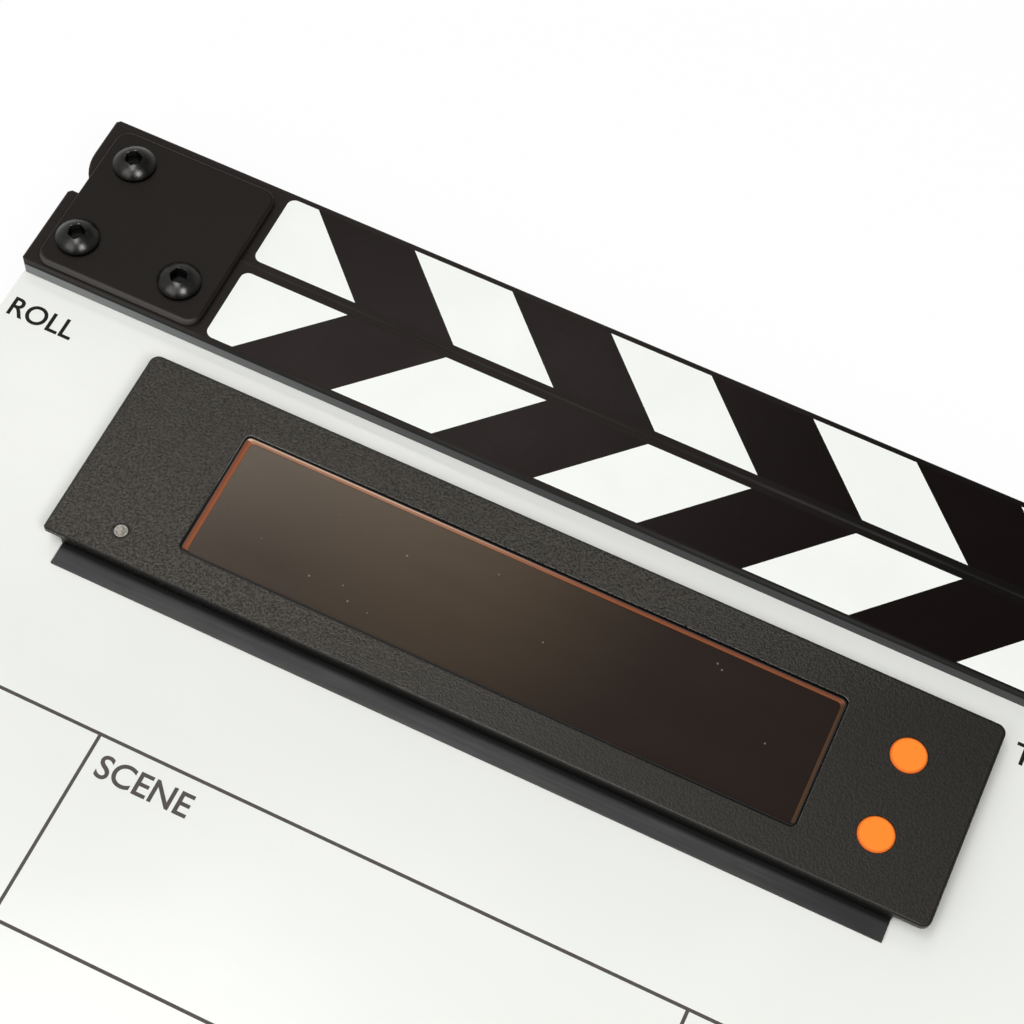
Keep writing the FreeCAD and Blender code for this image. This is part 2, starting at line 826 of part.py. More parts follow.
def make_window():
    """Amber filter: a plug in the bezel's opening, on a wider flange bonded behind it."""
    flange = slab(
        "window_flange_plate",
        (window_low_corner[0] - s.window_flange, window_low_corner[1] - s.window_flange, window_back),
        (window_length + 2 * s.window_flange, window_height + 2 * s.window_flange, s.window_flange_thick),
    )
    plug = slab(
        "window_plug",
        (window_low_corner[0] + s.window_play, window_low_corner[1] + s.window_play, bezel_back),
        (window_length - 2 * s.window_play, window_height - 2 * s.window_play,
         s.bezel_thick - s.window_recess),
        corner=s.window_corner,
    )
    node("filter_window", fuse("filter_window", [flange, plug]))


def make_housing():
    """Rear housing: a lip on the face of the board, and a tub through the board's cut-out."""
    lip_low = bezel_low - s.lip_drop
    lip = slab(
        "housing_lip",
        (neck_x[0], lip_low, face),
        (span(*neck_x), neck_y[1] - lip_low, s.lip_thick),
        front_edge=s.lip_edge,
    )
    tub = slab(
        "housing_tub",
        (tub_x[0], tub_y[0], 0),
        (span(*tub_x), span(*tub_y), lip_front),
        corner=s.tub_corner, back_edge=s.tub_edge,
    )
    hollow = slab(
        "housing_hollow",
        (tub_x[0] + s.tub_wall, tub_y[0] + s.tub_wall, s.tub_wall),
        (span(*tub_x) - 2 * s.tub_wall, span(*tub_y) - 2 * s.tub_wall, lip_front - s.tub_wall),
        corner=s.tub_corner - s.tub_wall,
    )
    shell = cut("housing_shell", fuse("housing_outside", [lip, tub]), [hollow])
    bosses = [rod("insert_boss", (0, unit_middle, 0), s.insert_radius + s.insert_boss,
                  s.insert_height + s.insert_cap)]
    for side in (-1, 1):
        x = side * s.ledge_spread - s.ledge_length / 2
        for end, y in (("low", tub_y[0] + s.tub_wall), ("top", tub_y[1] - s.tub_wall - s.ledge_thick)):
            bosses.append(box(f"{end}_ledge_{side + 1}", (x, y, 0),
                              (s.ledge_length, s.ledge_thick, circuit_back)))
    solid = fuse("housing_solid", [shell] + bosses)
    tools = [rod("insert_hole", (0, unit_middle, 0), s.insert_radius + s.press_play, s.insert_height)]
    tools += case_screw_bodies("case_hole", s.thread_play)
    tools += [clip_tongue(end, s.clip_play) for end in ("lower", "upper")]
    tools.append(socket_hole())
    tools.append(rod("jack_hole", (tub_x[1] - s.tub_wall, *jack_axis()), s.jack_nose + s.socket_play,
                     s.tub_wall, ALONG_X))
    node("rear_housing", cut("rear_housing", solid, tools))


def case_screw_bodies(name, play):
    """Screws of the housing, or their holes, from its back face."""
    return [
        flat_screw(f"{name}_{n}", (*where, 0), s.case_screw_head + play, s.case_screw_cone,
                   s.case_screw_radius + play, s.case_screw_length)
        for n, where in enumerate(pillar_places())
    ]


def jack_axis():
    """Place of the jack's axis in the right end wall."""
    return tub_y[1] - s.tub_wall - s.jack_gap - s.jack_body / 2, s.tub_wall + s.jack_body / 2


def socket_axis():
    """Place of the charging socket's axis in the right end wall."""
    middle = tub_y[0] + s.tub_wall + s.socket_gap + s.charge_board_width / 2
    return middle, s.tub_wall + s.charge_board_thick + s.socket_height / 2


def socket_hole():
    """Mouth for the charging socket in the right end wall."""
    play = 2 * s.socket_play
    return socket_prism("socket_mouth", tub_x[1] - s.tub_wall, s.tub_wall,
                        s.socket_width + play, s.socket_height + play)


def socket_prism(name, x, length, width, height):
    """Flat tube with round sides along X, on the charging socket's axis."""
    y, z = socket_axis()
    straight = width - height
    middle = box(f"{name}_middle", (x, y - straight / 2, z - height / 2), (length, straight, height))
    sides = [
        rod(f"{name}_side_{n}", (x, y + sign * straight / 2, z), height / 2, length, ALONG_X)
        for n, sign in enumerate((-1, 1))
    ]
    return fuse(name, [middle] + sides)


def make_sockets():
    """Charging socket on its own small circuit board, and the timecode jack."""
    inner = tub_x[1] - s.tub_wall
    y, z = socket_axis()
    node("charge_board", box(
        "charge_board",
        (inner - s.charge_board_length, y - s.charge_board_width / 2, s.tub_wall),
        (s.charge_board_length, s.charge_board_width, s.charge_board_thick),
    ))
    shell = socket_prism("socket_shell", tub_x[1] - s.socket_length, s.socket_length,
                         s.socket_width, s.socket_height)
    mouth = socket_prism("socket_bore", tub_x[1] - s.socket_mouth, s.socket_mouth,
                         s.socket_width - 2 * s.socket_wall, s.socket_height - 2 * s.socket_wall)
    node("charge_socket", cut("charge_socket", shell, [mouth]))
    y, z = jack_axis()
    body = box("jack_block", (inner - s.jack_length, y - s.jack_body / 2, s.tub_wall),
               (s.jack_length, s.jack_body, s.jack_body))
    nose = rod("jack_nose", (inner, y, z), s.jack_nose, s.tub_wall, ALONG_X)
    bore = rod("jack_bore", (tub_x[1] - s.jack_depth, y, z), s.jack_bore, s.jack_depth, ALONG_X)
    node("timecode_jack", cut("timecode_jack", fuse("jack_solid", [body, nose]), [bore]))


def make_circuit():
    """Display circuit board on the housing's ledges, with its digit modules, switches and status light."""
    play = s.tub_wall + s.circuit_play
    board = slab(
        "circuit_blank",
        (tub_x[0] + play, tub_y[0] + play, circuit_back),
        (span(*tub_x) - 2 * play, span(*tub_y) - 2 * play, s.circuit_thick),
        corner=s.tub_corner - s.tub_wall,
    )
    holes = [
        rod(f"circuit_hole_{n}", (*where, circuit_back), s.pillar_radius + s.circuit_play, s.circuit_thick)
        for n, where in enumerate(pillar_places())
    ]
    node("display_board", cut("display_board", board, holes))
    pitch = window_length / 4
    digits = [
        box(
            f"digit_module_{n}",
            (window_low_corner[0] + n * pitch + s.digit_space / 2, window_low_corner[1] + s.digit_border,
             circuit_front),
            (pitch - s.digit_space, window_height - 2 * s.digit_border,
             window_back - s.digit_gap - circuit_front),
        )
        for n in range(4)
    ]
    node("digit_modules", group("digit_modules", digits))
    top = button_back - s.button_travel - s.button_stop
    switches = []
    for n, y in enumerate(button_y):
        base = box(f"switch_base_{n}", (button_x - s.switch_side / 2, y - s.switch_side / 2, circuit_front),
                   (s.switch_side, s.switch_side, top - s.plunger_rise - circuit_front))
        plunger = box(f"switch_plunger_{n}",
                      (button_x - s.plunger_side / 2, y - s.plunger_side / 2, top - s.plunger_rise),
                      (s.plunger_side, s.plunger_side, s.plunger_rise))
        switches.append(fuse(f"switch_{n}", [base, plunger]))
    node("button_switches", group("button_switches", switches))
    low = tub_y[0] + play + s.led_inset
    node("status_led", box(
        "status_led",
        (lens[0] - s.led_length / 2, low, circuit_front),
        (s.led_length, s.led_width, s.led_thick),
    ))


def make_buttons():
    """Two push buttons, each kept behind the bezel by its flange."""
    rim = s.button_radius + s.button_flange
    top = bezel_front + s.button_proud - button_back
    profile = [
        (0, 0),
        (rim, 0),
        (rim, s.button_flange_thick),
        (s.button_radius, s.button_flange_thick),
        (s.button_radius, top - s.button_edge),
        (s.button_radius - s.button_edge, top),
        (0, top),
    ]
    for name, y in zip(("lower_button", "upper_button"), button_y):
        node(name, turned(name, (button_x, y, button_back), profile))


def make_status_lens():
    """Light pipe pressed into the bezel above the status light."""
    low = lip_front + s.led_gap
    node("status_lens", rod("status_lens", (*lens, low), s.lens_radius, bezel_front - s.lens_recess - low))


def make_case_screws():
    """Screws from the back of the housing into the bezel's pillars."""
    screws = []
    for n, (where, blank) in enumerate(zip(pillar_places(), case_screw_bodies("case_screw_blank", 0))):
        key = hexagon(f"case_key_{n}", (*where, 0), s.case_screw_key, s.case_screw_cone)
        screws.append(cut(f"case_screw_{n}", blank, [key]))
    node("case_screws", group("case_screws", screws))


def make_insert():
    """Brass tripod-thread insert in the back of the housing."""
    node("thread_insert", turned("thread_insert", (0, unit_middle, 0), [
        (s.insert_bore, 0),
        (s.insert_radius, 0),
        (s.insert_radius, s.insert_height),
        (0, s.insert_height),
        (0, s.insert_depth),
        (s.insert_bore, s.insert_depth),
    ]))


def make_battery():
    """Flat cell on the floor of the housing, between a screw pillar and the thread insert."""
    left = pillar_places()[0][0] + s.pillar_radius + s.battery_gap
    right = -s.insert_radius - s.insert_boss - s.battery_gap
    low = tub_y[0] + s.tub_wall + s.battery_side
    high = tub_y[1] - s.tub_wall - s.battery_side
    size = (right - left, high - low, s.under_circuit - s.battery_head)
    node("battery_cell", slab("battery_cell", (left, low, s.tub_wall), size, corner=s.battery_round))


def clip_tongue(end, play):
    """Tongue of a clip, or the slot for it, in one long wall of the housing."""
    depth = s.clip_tongue + play
    y = tub_y[0] if end == "lower" else tub_y[1] - depth
    height = s.clip_thick + 2 * play
    width = s.clip_tongue_width + 2 * play
    middle = (s.clip_lift + board_back) / 2
    return box(f"{end}_tongue_{float(play):.1f}".replace(".", "_"), (-width / 2, y, middle - height / 2),
               (width, depth, height))


def make_clips():
    """Spring clip behind the board at each long side of the housing, held by a tongue in its wall."""
    for end in ("lower", "upper"):
        is_lower = end == "lower"
        leg_y = tub_y[0] - s.clip_thick if is_lower else tub_y[1]
        foot_y = tub_y[0] - s.clip_reach if is_lower else tub_y[1]
        leg = box(f"{end}_clip_leg", (-s.clip_width / 2, leg_y, s.clip_lift),
                  (s.clip_width, s.clip_thick, board_back - s.clip_lift))
        foot = box(f"{end}_clip_foot", (-s.clip_width / 2, foot_y, board_back - s.clip_thick),
                   (s.clip_width, s.clip_reach, s.clip_thick))
        node(f"{end}_clip", fuse(f"{end}_clip", [leg, foot, clip_tongue(end, as_size(0))]))


def check_and_write():
    """Stop on any failed object, then write each sub-part to its own file."""
    doc.recompute()
    for obj in doc.Objects:
        if "Invalid" in obj.State or "Error" in obj.State:
            raise RuntimeError(f"{obj.Name} failed: {obj.State}")
    for obj in nodes:
        if obj.Shape.isNull() or not obj.Shape.isValid() or not obj.Shape.Solids:
            raise RuntimeError(f"{obj.Label} has no valid solid")
    os.makedirs("parts", exist_ok=True)
    for obj in nodes:
        obj.Shape.exportStep(f"parts/{obj.Label}.step")


make_board(make_grid_lines())
make_lower_stick()
make_stick_screws()
make_upper_stick()
make_pivot_bush()
make_hinge()
make_bezel()
make_window()
make_housing()
make_sockets()
make_circuit()
make_buttons()
make_status_lens()
make_case_screws()
make_insert()
make_battery()
make_clips()
check_and_write()
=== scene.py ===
"""Looks of a film slate with hinged clapsticks and a time display unit let into its board."""

import math

import bmesh
import bpy
from bpy.props import FloatProperty, FloatVectorProperty, IntProperty, PointerProperty, StringProperty
from mathutils import Matrix, Vector


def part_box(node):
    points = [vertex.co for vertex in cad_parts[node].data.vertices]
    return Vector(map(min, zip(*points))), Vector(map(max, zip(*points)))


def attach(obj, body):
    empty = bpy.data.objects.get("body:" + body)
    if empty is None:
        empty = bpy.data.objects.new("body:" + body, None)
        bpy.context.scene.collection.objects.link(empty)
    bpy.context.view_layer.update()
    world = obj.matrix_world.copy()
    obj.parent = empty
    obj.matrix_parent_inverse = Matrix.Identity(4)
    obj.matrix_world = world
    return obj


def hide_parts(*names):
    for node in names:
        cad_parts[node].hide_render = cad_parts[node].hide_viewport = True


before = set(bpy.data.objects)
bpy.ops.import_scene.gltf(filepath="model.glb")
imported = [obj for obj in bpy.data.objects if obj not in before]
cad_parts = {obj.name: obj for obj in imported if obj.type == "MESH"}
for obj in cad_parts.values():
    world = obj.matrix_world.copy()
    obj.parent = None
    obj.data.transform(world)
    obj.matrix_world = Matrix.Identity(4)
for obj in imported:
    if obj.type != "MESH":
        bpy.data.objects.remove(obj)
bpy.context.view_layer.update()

bl_info = {
    "name": "Film slate looks",
    "version": (1, 0, 0),
    "blender": (4, 5, 0),
    "location": "View3D > Sidebar > Slate",
    "description": "Dresses a packed film slate with its finishes, screws, window, labels and stage",
    "category": "Object",
}

MM = 0.001
FIXED = "slate"

BLACK = (0.0, 0.0, 0.0)
# near-black for painted shade
PAINTED_SHADE = (0.001, 0.001, 0.001)
WHITE = (1.0, 1.0, 1.0)
EVEN = (1.0, 1.0, 1.0)

# spans over which a finish changes: print along y, the sticks' painted shade along x
DARKER_PRINT = (-15.0 * MM, 55.0 * MM)
FREE_END_SHADE = (-50.0 * MM, 110.0 * MM)

# the unit's sizes that its boxes don't give
BEZEL_CORNER = 2.2 * MM
WINDOW_FLANGE = 2.0 * MM
WINDOW_FLANGE_THICK = 1.0 * MM
WINDOW_PLAY = 0.1 * MM
WINDOW_CORNER = 1.5 * MM
# where the window's painted glow sits
PAINTED_GLOW_SHIFT = (-18.0 * MM, 12.0 * MM, 0.0)

# piece, setting with its word, place in millimetres, size as a share of the label height
LABELS = (
    ("label_left", "first_label", (-144.6, 64.0), 1.05),
    ("label_right", "second_label", (109.0, 62.7), 1.05),
    ("label_cell", "third_label", (-68.4, -28.3), 1.12),
)
CAPITALS = 0.729  # height of the font's capitals as a share of its size
LABEL_WEIGHT = 0.10 * MM

# lamp, setting with its power, place and size in metres
SOFTBOXES = (
    ("top_softbox", "top_power", (-0.22, -0.10, 1.2), (0.70, 0.36)),
    ("key_softbox", "key_power", (0.55, -0.45, 1.05), (0.42, 0.42)),
    ("front_softbox", "front_power", (-0.45, -0.85, 0.95), (0.9, 0.7)),
    ("back_strip", "back_power", (-0.355, 0.61, 1.06), (0.54, 0.11)),
)

# the camera's place in metres and its right, up and back
CAMERA_PLACE = (0.066739, -0.166675, 0.483057)
CAMERA_AXES = (
    (0.90499522, 0.42185405, 0.05498018),
    (-0.39682461, 0.79049833, 0.46652182),
    (0.15334238, -0.44401751, 0.88279928),
)
SENSOR_WIDTH = 36.0
CLIP_START = 0.01


# Node wiring


class Wire:
    """A node's output that takes part in Python arithmetic by adding Math nodes."""

    def __init__(self, wiring, socket):
        self.wiring = wiring
        self.socket = socket

    def math(self, operation, first, second=0.0):
        return self.wiring.add("ShaderNodeMath", {"operation": operation}, {0: first, 1: second})

    def __add__(self, other):
        return self.math("ADD", self, other)

    def __radd__(self, other):
        return self.math("ADD", other, self)

    def __sub__(self, other):
        return self.math("SUBTRACT", self, other)

    def __rsub__(self, other):
        return self.math("SUBTRACT", other, self)

    def __mul__(self, other):
        return self.math("MULTIPLY", self, other)

    def __rmul__(self, other):
        return self.math("MULTIPLY", other, self)

    def __truediv__(self, other):
        return self.math("DIVIDE", self, other)

    def __rtruediv__(self, other):
        return self.math("DIVIDE", other, self)

    def __pow__(self, other):
        return self.math("POWER", self, other)

    def __mod__(self, other):
        return self.math("FLOORED_MODULO", self, other)

    def __abs__(self):
        return self.math("ABSOLUTE", self)

    def most(self, other):
        return self.math("MAXIMUM", self, other)

    def cosine(self):
        return self.math("COSINE", self)

    def sine(self):
        return self.math("SINE", self)


class Wiring:
    """A node tree that grows one node at a time."""

    def __init__(self, tree):
        self.tree = tree

    def add(self, kind, settings=None, sockets=None, output=0):
        """Adds a node, sets it up, feeds its sockets and gives back the wire from one output."""
        node = self.tree.nodes.new(kind)
        for key, value in (settings or {}).items():
            if key == "choices":
                while len(node.index_switch_items) < value:
                    node.index_switch_items.new()
            else:
                setattr(node, key, value)
        for key, value in (sockets or {}).items():
            self.feed(node.inputs[key], value)
        return Wire(self, node.outputs[output])

    def feed(self, socket, value):
        if isinstance(value, Wire):
            self.tree.links.new(value.socket, socket)
        elif socket.type == "RGBA" and len(value) == 3:
            socket.default_value = (*value, 1.0)
        else:
            socket.default_value = value


class Finish(Wiring):
    """A material with one Principled surface, its pattern on the part's own coordinates."""

    def __init__(self, name, **constants):
        self.material = bpy.data.materials.new(name)
        self.material.use_nodes = True
        super().__init__(self.material.node_tree)
        self.tree.nodes.clear()
        self.surface = self.tree.nodes.new("ShaderNodeBsdfPrincipled")
        end = self.tree.nodes.new("ShaderNodeOutputMaterial")
        self.tree.links.new(self.surface.outputs["BSDF"], end.inputs["Surface"])
        self.spot = self.add("ShaderNodeTexCoord", output="Object")
        for key, value in constants.items():
            self.set(key.replace("_", " "), value)

    def set(self, name, value):
        names = {socket.name.lower(): socket for socket in self.surface.inputs}
        self.feed(names[name.lower()], value)

    def along(self, axis):
        """The place along one axis, in metres."""
        return self.add("ShaderNodeSeparateXYZ", {}, {0: self.spot}, output=axis)

    def stretched(self, stretch):
        scale = tuple(1.0 / value for value in stretch)
        return self.add("ShaderNodeMapping", {}, {"Vector": self.spot, "Scale": scale})

    def grain(self, size, detail=2.0, stretch=EVEN, rough=0.5):
        """Noise whose grains are about as large as size, drawn out along the axes by stretch."""
        spot = self.spot if stretch == EVEN else self.stretched(stretch)
        sockets = {"Vector": spot, "Scale": 1.0 / size, "Detail": detail, "Roughness": rough}
        return self.add("ShaderNodeTexNoise", {}, sockets)

    def rise(self, value, low, high):
        """A smooth step from 0 at low to 1 at high."""
        sockets = {"Value": value, "From Min": low, "From Max": high}
        return self.add("ShaderNodeMapRange", {"interpolation_type": "SMOOTHSTEP"}, sockets)

    def mix(self, share, first, second):
        """A colour between two; the sockets are the Mix node's own for colours."""
        sockets = {0: share, 6: first, 7: second}
        return self.add("ShaderNodeMix", {"data_type": "RGBA"}, sockets, output=2)

    def tones(self, share, colour, first, last):
        """A colour that wanders between two shades of itself."""
        return self.mix(share, shade(colour, first), shade(colour, last))

    def relief(self, height, depth, strength):
        """Bumps of a height pattern, as deep as depth in metres."""
        sockets = {"Height": height, "Distance": depth, "Strength": strength}
        self.set("Normal", self.add("ShaderNodeBump", {}, sockets))

    def ring(self, centre):
        """Distance from an upright axis through centre, in metres."""
        x, y = self.along(0) - centre[0], self.along(1) - centre[1]
        return (x * x + y * y) ** 0.5

    def inside(self, low, high, corner):
        """Depth inside a rounded outline seen from above, in metres, up to the corners' radius."""
        past = []
        for axis in (0, 1):
            middle, half = (low[axis] + high[axis]) / 2, (high[axis] - low[axis]) / 2
            past.append((abs(self.along(axis) - middle) - (half - corner)).most(0.0))
        return corner - (past[0] * past[0] + past[1] * past[1]) ** 0.5


def shade(colour, factor):
    return tuple(value * factor for value in colour)


# Mesh helpers


def rounded(low, high, radius, steps=8):
    """The outline of a rectangle with round corners, anticlockwise."""
    points = []
    centres = [(high[0], high[1]), (low[0], high[1]), (low[0], low[1]), (high[0], low[1])]
    for quarter, (x, y) in enumerate(centres):
        x += radius if x == low[0] else -radius
        y += radius if y == low[1] else -radius
        for step in range(steps + 1):
            angle = math.pi / 2 * (quarter + step / steps)
            points.append((x + radius * math.cos(angle), y + radius * math.sin(angle)))
    return points


def shell(name, rings):
    """A closed mesh skinned over rings of points, with a cap on the first and the last."""
    maker = bmesh.new()
    loops = [[maker.verts.new(point) for point in ring] for ring in rings]
    count = len(loops[0])
    for first, second in zip(loops, loops[1:]):
        for n in range(count):
            maker.faces.new((first[n], first[(n + 1) % count], second[(n + 1) % count], second[n]))
    maker.faces.new(loops[0])
    maker.faces.new(loops[-1])
    mesh = bpy.data.meshes.new(name)
    maker.to_mesh(mesh)
    maker.free()
    return mesh


def tidy(mesh, angle=35.0, gap=1e-6):
    """Merges doubles, turns the faces outwards and smooths what bends by less than the angle."""
    maker = bmesh.new()
    maker.from_mesh(mesh)
    bmesh.ops.remove_doubles(maker, verts=maker.verts, dist=gap)
    bmesh.ops.dissolve_degenerate(maker, edges=maker.edges, dist=gap / 10)
    bmesh.ops.recalc_face_normals(maker, faces=maker.faces)
    maker.to_mesh(mesh)
    maker.free()
    mesh.shade_smooth()
    mesh.set_sharp_from_angle(angle=math.radians(angle))
    holder = show(mesh, mesh.name + "_holder")
    even = holder.modifiers.new("Even normals", "WEIGHTED_NORMAL")
    even.keep_sharp = True
    return solid_from(holder, mesh.name)


def solid_from(source, name):
    """A plain mesh of an object as Blender sees it now; the object itself is removed."""
    bpy.context.view_layer.update()
    seen = source.evaluated_get(bpy.context.evaluated_depsgraph_get())
    mesh = bpy.data.meshes.new_from_object(seen)
    mesh.name = name
    bpy.data.objects.remove(source)
    return mesh


def show(data, name):
    thing = bpy.data.objects.new(name, data)
    bpy.context.scene.collection.objects.link(thing)
    return thing


def place_piece(name, mesh, finish=None, nodes=()):
    """Puts a mesh in the scene, on the fixed body, in place of the nodes it stands for."""
    piece = show(mesh, name)
    if finish is not None:
        mesh.materials.clear()
        mesh.materials.append(finish.material)
    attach(piece, FIXED)
    if nodes:
        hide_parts(*nodes)


def dress(finish, *names):
    """Gives nodes of the frame a finish."""
    for name in names:
        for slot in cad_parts[name].material_slots:
            slot.material = finish.material


# Settings


def colour_setting(name, description, default):
    return FloatVectorProperty(
        name=name, description=description, subtype="COLOR", default=default, min=0.0, max=1.0)


def length_setting(name, description, default, least, most):
    """A length given in millimetres."""
    return FloatProperty(
        name=name, description=description, unit="LENGTH",
        default=default * MM, min=least * MM, max=most * MM)


def power_setting(name, description, default):
    return FloatProperty(
        name=name, description=description, unit="POWER", default=default, min=0.0, max=500.0)


def light_setting(name, description, default):
    return FloatProperty(name=name, description=description, default=default, min=0.0, max=5.0)


class BoardSettings(bpy.types.PropertyGroup):
    white: colour_setting("Board white", "Colour of the writing board", (0.795, 0.805, 0.77))
    ink: colour_setting("Ink", "Colour of fresh print, beside the unit", (0.012, 0.0115, 0.011))
    # the print's colour on the writing field, paler than beside the unit
    pale_ink: colour_setting(
        "Worn ink", "Colour of print paled by wiping, on the writing field", (0.098, 0.087, 0.083))
    label_height: length_setting("Label height", "Height of the labels' capitals", 5.0, 1.0, 20.0)
    label_relief: length_setting("Label thickness", "Thickness of the printed film", 0.04, 0.01, 1.0)
    first_label: StringProperty(name="First label", description="Word left of the unit", default="ROLL")
    second_label: StringProperty(name="Second label", description="Word right of the unit", default="TAKE")
    third_label: StringProperty(name="Third label", description="Word in the first cell", default="SCENE")


class StickSettings(bpy.types.PropertyGroup):
    black: colour_setting("Stick black", "Colour of the painted sticks", (0.0165, 0.0132, 0.0120))
    flank: colour_setting("Stick sides", "Colour of the sticks' sawn sides", (0.024, 0.0255, 0.0255))
    # painted light: colour of the pale band on the lower stick's side
    underside: colour_setting(
        "Underside", "Colour of the lower stick's pale underside", (0.088, 0.091, 0.091))
    # the sticks' edges: wear with a painted highlight
    rubbed_and_painted_light: colour_setting("Rubbed edges", "Colour of the sticks' rubbed edges", (0.09, 0.09, 0.085))
    stripe_white: colour_setting("White stripes", "Colour of the white inlay", (0.86, 0.88, 0.842))
    stripe_black: colour_setting("Black stripes", "Colour of the black inlay", (0.0042, 0.0026, 0.0023))


class HingeSettings(bpy.types.PropertyGroup):
    plate: colour_setting("Plate", "Colour of the coated hinge plates", (0.0068, 0.0053, 0.0043))
    # painted highlight: colour of the front plate's lower edge
    plate_painted_highlight: colour_setting(
        "Worn edge", "Colour of the plate's rubbed lower edge", (0.052, 0.049, 0.045))
    plate_round: length_setting("Plate edge", "Radius of the plate's soft edge", 0.8, 0.0, 2.0)
    plate_corner: length_setting("Plate corner", "Radius of the plate's corners", 3.6, 0.0, 10.0)
    steel: colour_setting("Screw steel", "Colour of the blackened screws", (0.045, 0.044, 0.042))
    head_radius: length_setting("Head radius", "Radius of the domed screw heads", 5.25, 1.0, 20.0)
    head_height: length_setting("Head height", "Height of the domed screw heads", 3.3, 1.0, 20.0)
    key_width: length_setting(
        "Key width", "Width across the flats of the hexagon socket", 3.85, 1.0, 10.0)
    key_depth: length_setting("Key depth", "Depth of the hexagon socket", 2.5, 0.5, 10.0)
    shank_radius: length_setting("Shank radius", "Radius of the screws' shanks", 2.95, 1.0, 10.0)
    turn_seed: IntProperty(name="Turn seed", description="Seed of the screws' turn", default=4, min=0)


class UnitSettings(bpy.types.PropertyGroup):
    bezel: colour_setting("Bezel", "Colour of the moulded bezel", (0.0092, 0.0083, 0.0068))
    grain: length_setting("Bezel grain", "Size of the bezel's moulded grain", 0.60, 0.05, 5.0)
    housing: colour_setting("Housing", "Colour of the housing and its lip", (0.060, 0.060, 0.0595))
    window: colour_setting("Window", "Colour of the smoked window", (0.0165, 0.0105, 0.0090))
    # painted light: colour of the window's glow in its middle
    window_painted_glow: colour_setting(
        "Window glow", "Colour of the window's middle, over the digits", (0.044, 0.0305, 0.0195))
    window_edge: colour_setting("Window edge", "Colour of the window's lit edge", (0.262, 0.090, 0.050))
    window_glint: colour_setting(
        "Window glint", "Colour of the light inside the window's amber edge", (0.385, 0.115, 0.042))
    # painted shade and a painted highlight on the window's amber edge
    window_dim: colour_setting("Window dim edge", "Colour of its right edge", (0.058, 0.044, 0.024))
    window_highlight_line: colour_setting("Window line", "Colour of the line at the upper left", (0.80, 0.56, 0.41))
    window_dust: colour_setting("Window dust", "Colour of the dust on the window", (0.35, 0.30, 0.26))
    window_sink: length_setting(
        "Window sink", "Depth of the window's bowl below its rim", 1.1, 0.1, 1.9)
    window_slope: length_setting("Window slope", "Run of the window's sloped edge", 0.85, 0.0, 3.0)
    # the rim's top faces are painted near-black as painted shadow
    window_rim: length_setting("Window rim", "Width of the dark rim round the window", 0.35, 0.0, 2.0)
    button: colour_setting("Buttons", "Colour of the two buttons", (0.93, 0.245, 0.020))
    # painted shade: colour round the buttons' rims
    button_rim_shade: colour_setting("Button rims", "Colour round the buttons' rims", (0.72, 0.12, 0.012))


class StageSettings(bpy.types.PropertyGroup):
    floor: colour_setting("Floor", "Colour of the floor", (0.95, 0.95, 0.95))
    floor_glow: FloatProperty(
        name="Floor glow", description="Share of plain white that the floor shows", subtype="FACTOR",
        default=0.93, min=0.0, max=1.0)
    floor_reach: FloatProperty(
        name="Floor reach", description="Half the floor's side", unit="LENGTH",
        default=14.0, min=1.0, max=100.0)
    walls: light_setting("Walls", "Strength of the even light from the room's walls", 0.65)
    ceiling: light_setting("Ceiling", "Strength of the even light from the room's ceiling", 0.2)
    top_power: power_setting("Top light", "Power of the softbox above the slate", 5.0)
    key_power: power_setting("Key light", "Power of the softbox in front at the right", 6.95)
    front_power: power_setting("Front light", "Power of the broad softbox in front", 3.7)
    back_power: power_setting("Back light", "Power of the strip behind the slate", 0.95)
    lens: FloatProperty(
        name="Lens", description="Focal length of the camera in millimetres",
        default=81.85, min=10.0, max=300.0)


# Finishes


def acrylic(settings):
    """Gloss white acrylic with faint clouds and fine wipe marks."""
    finish = Finish("gloss white acrylic", specular_ior_level=0.32)
    clouds = finish.grain(90.0 * MM, detail=3.0)
    finish.set("Base Color", finish.tones(finish.rise(clouds, 0.3, 0.7), settings.white, 0.97, 1.02))
    wipes = finish.grain(1.2 * MM, detail=3.0, stretch=(40.0, 3.0, 3.0))
    smears = finish.grain(30.0 * MM, detail=4.0, stretch=(3.0, 1.0, 1.0))
    finish.set("Roughness", 0.13 + 0.10 * wipes + 0.05 * finish.rise(smears, 0.5, 0.75))
    finish.relief(finish.grain(6.0 * MM, detail=1.0), depth=0.02 * MM, strength=0.25)
    return finish


def ink(settings):
    """Dark print, a little uneven in its cover and paler on the writing field than beside the unit."""
    finish = Finish("dark print", specular_ior_level=0.15)
    cover = finish.grain(0.9 * MM, detail=3.0)
    # the print is paler on the writing field than beside the unit
    darker = finish.rise(finish.along(1), *DARKER_PRINT)
    tone = finish.mix(darker, settings.pale_ink, settings.ink)
    finish.set("Base Color", finish.mix(0.4 * cover, tone, BLACK))
    finish.set("Roughness", 0.42 + 0.2 * cover)
    finish.relief(cover, depth=0.02 * MM, strength=0.3)
    return finish


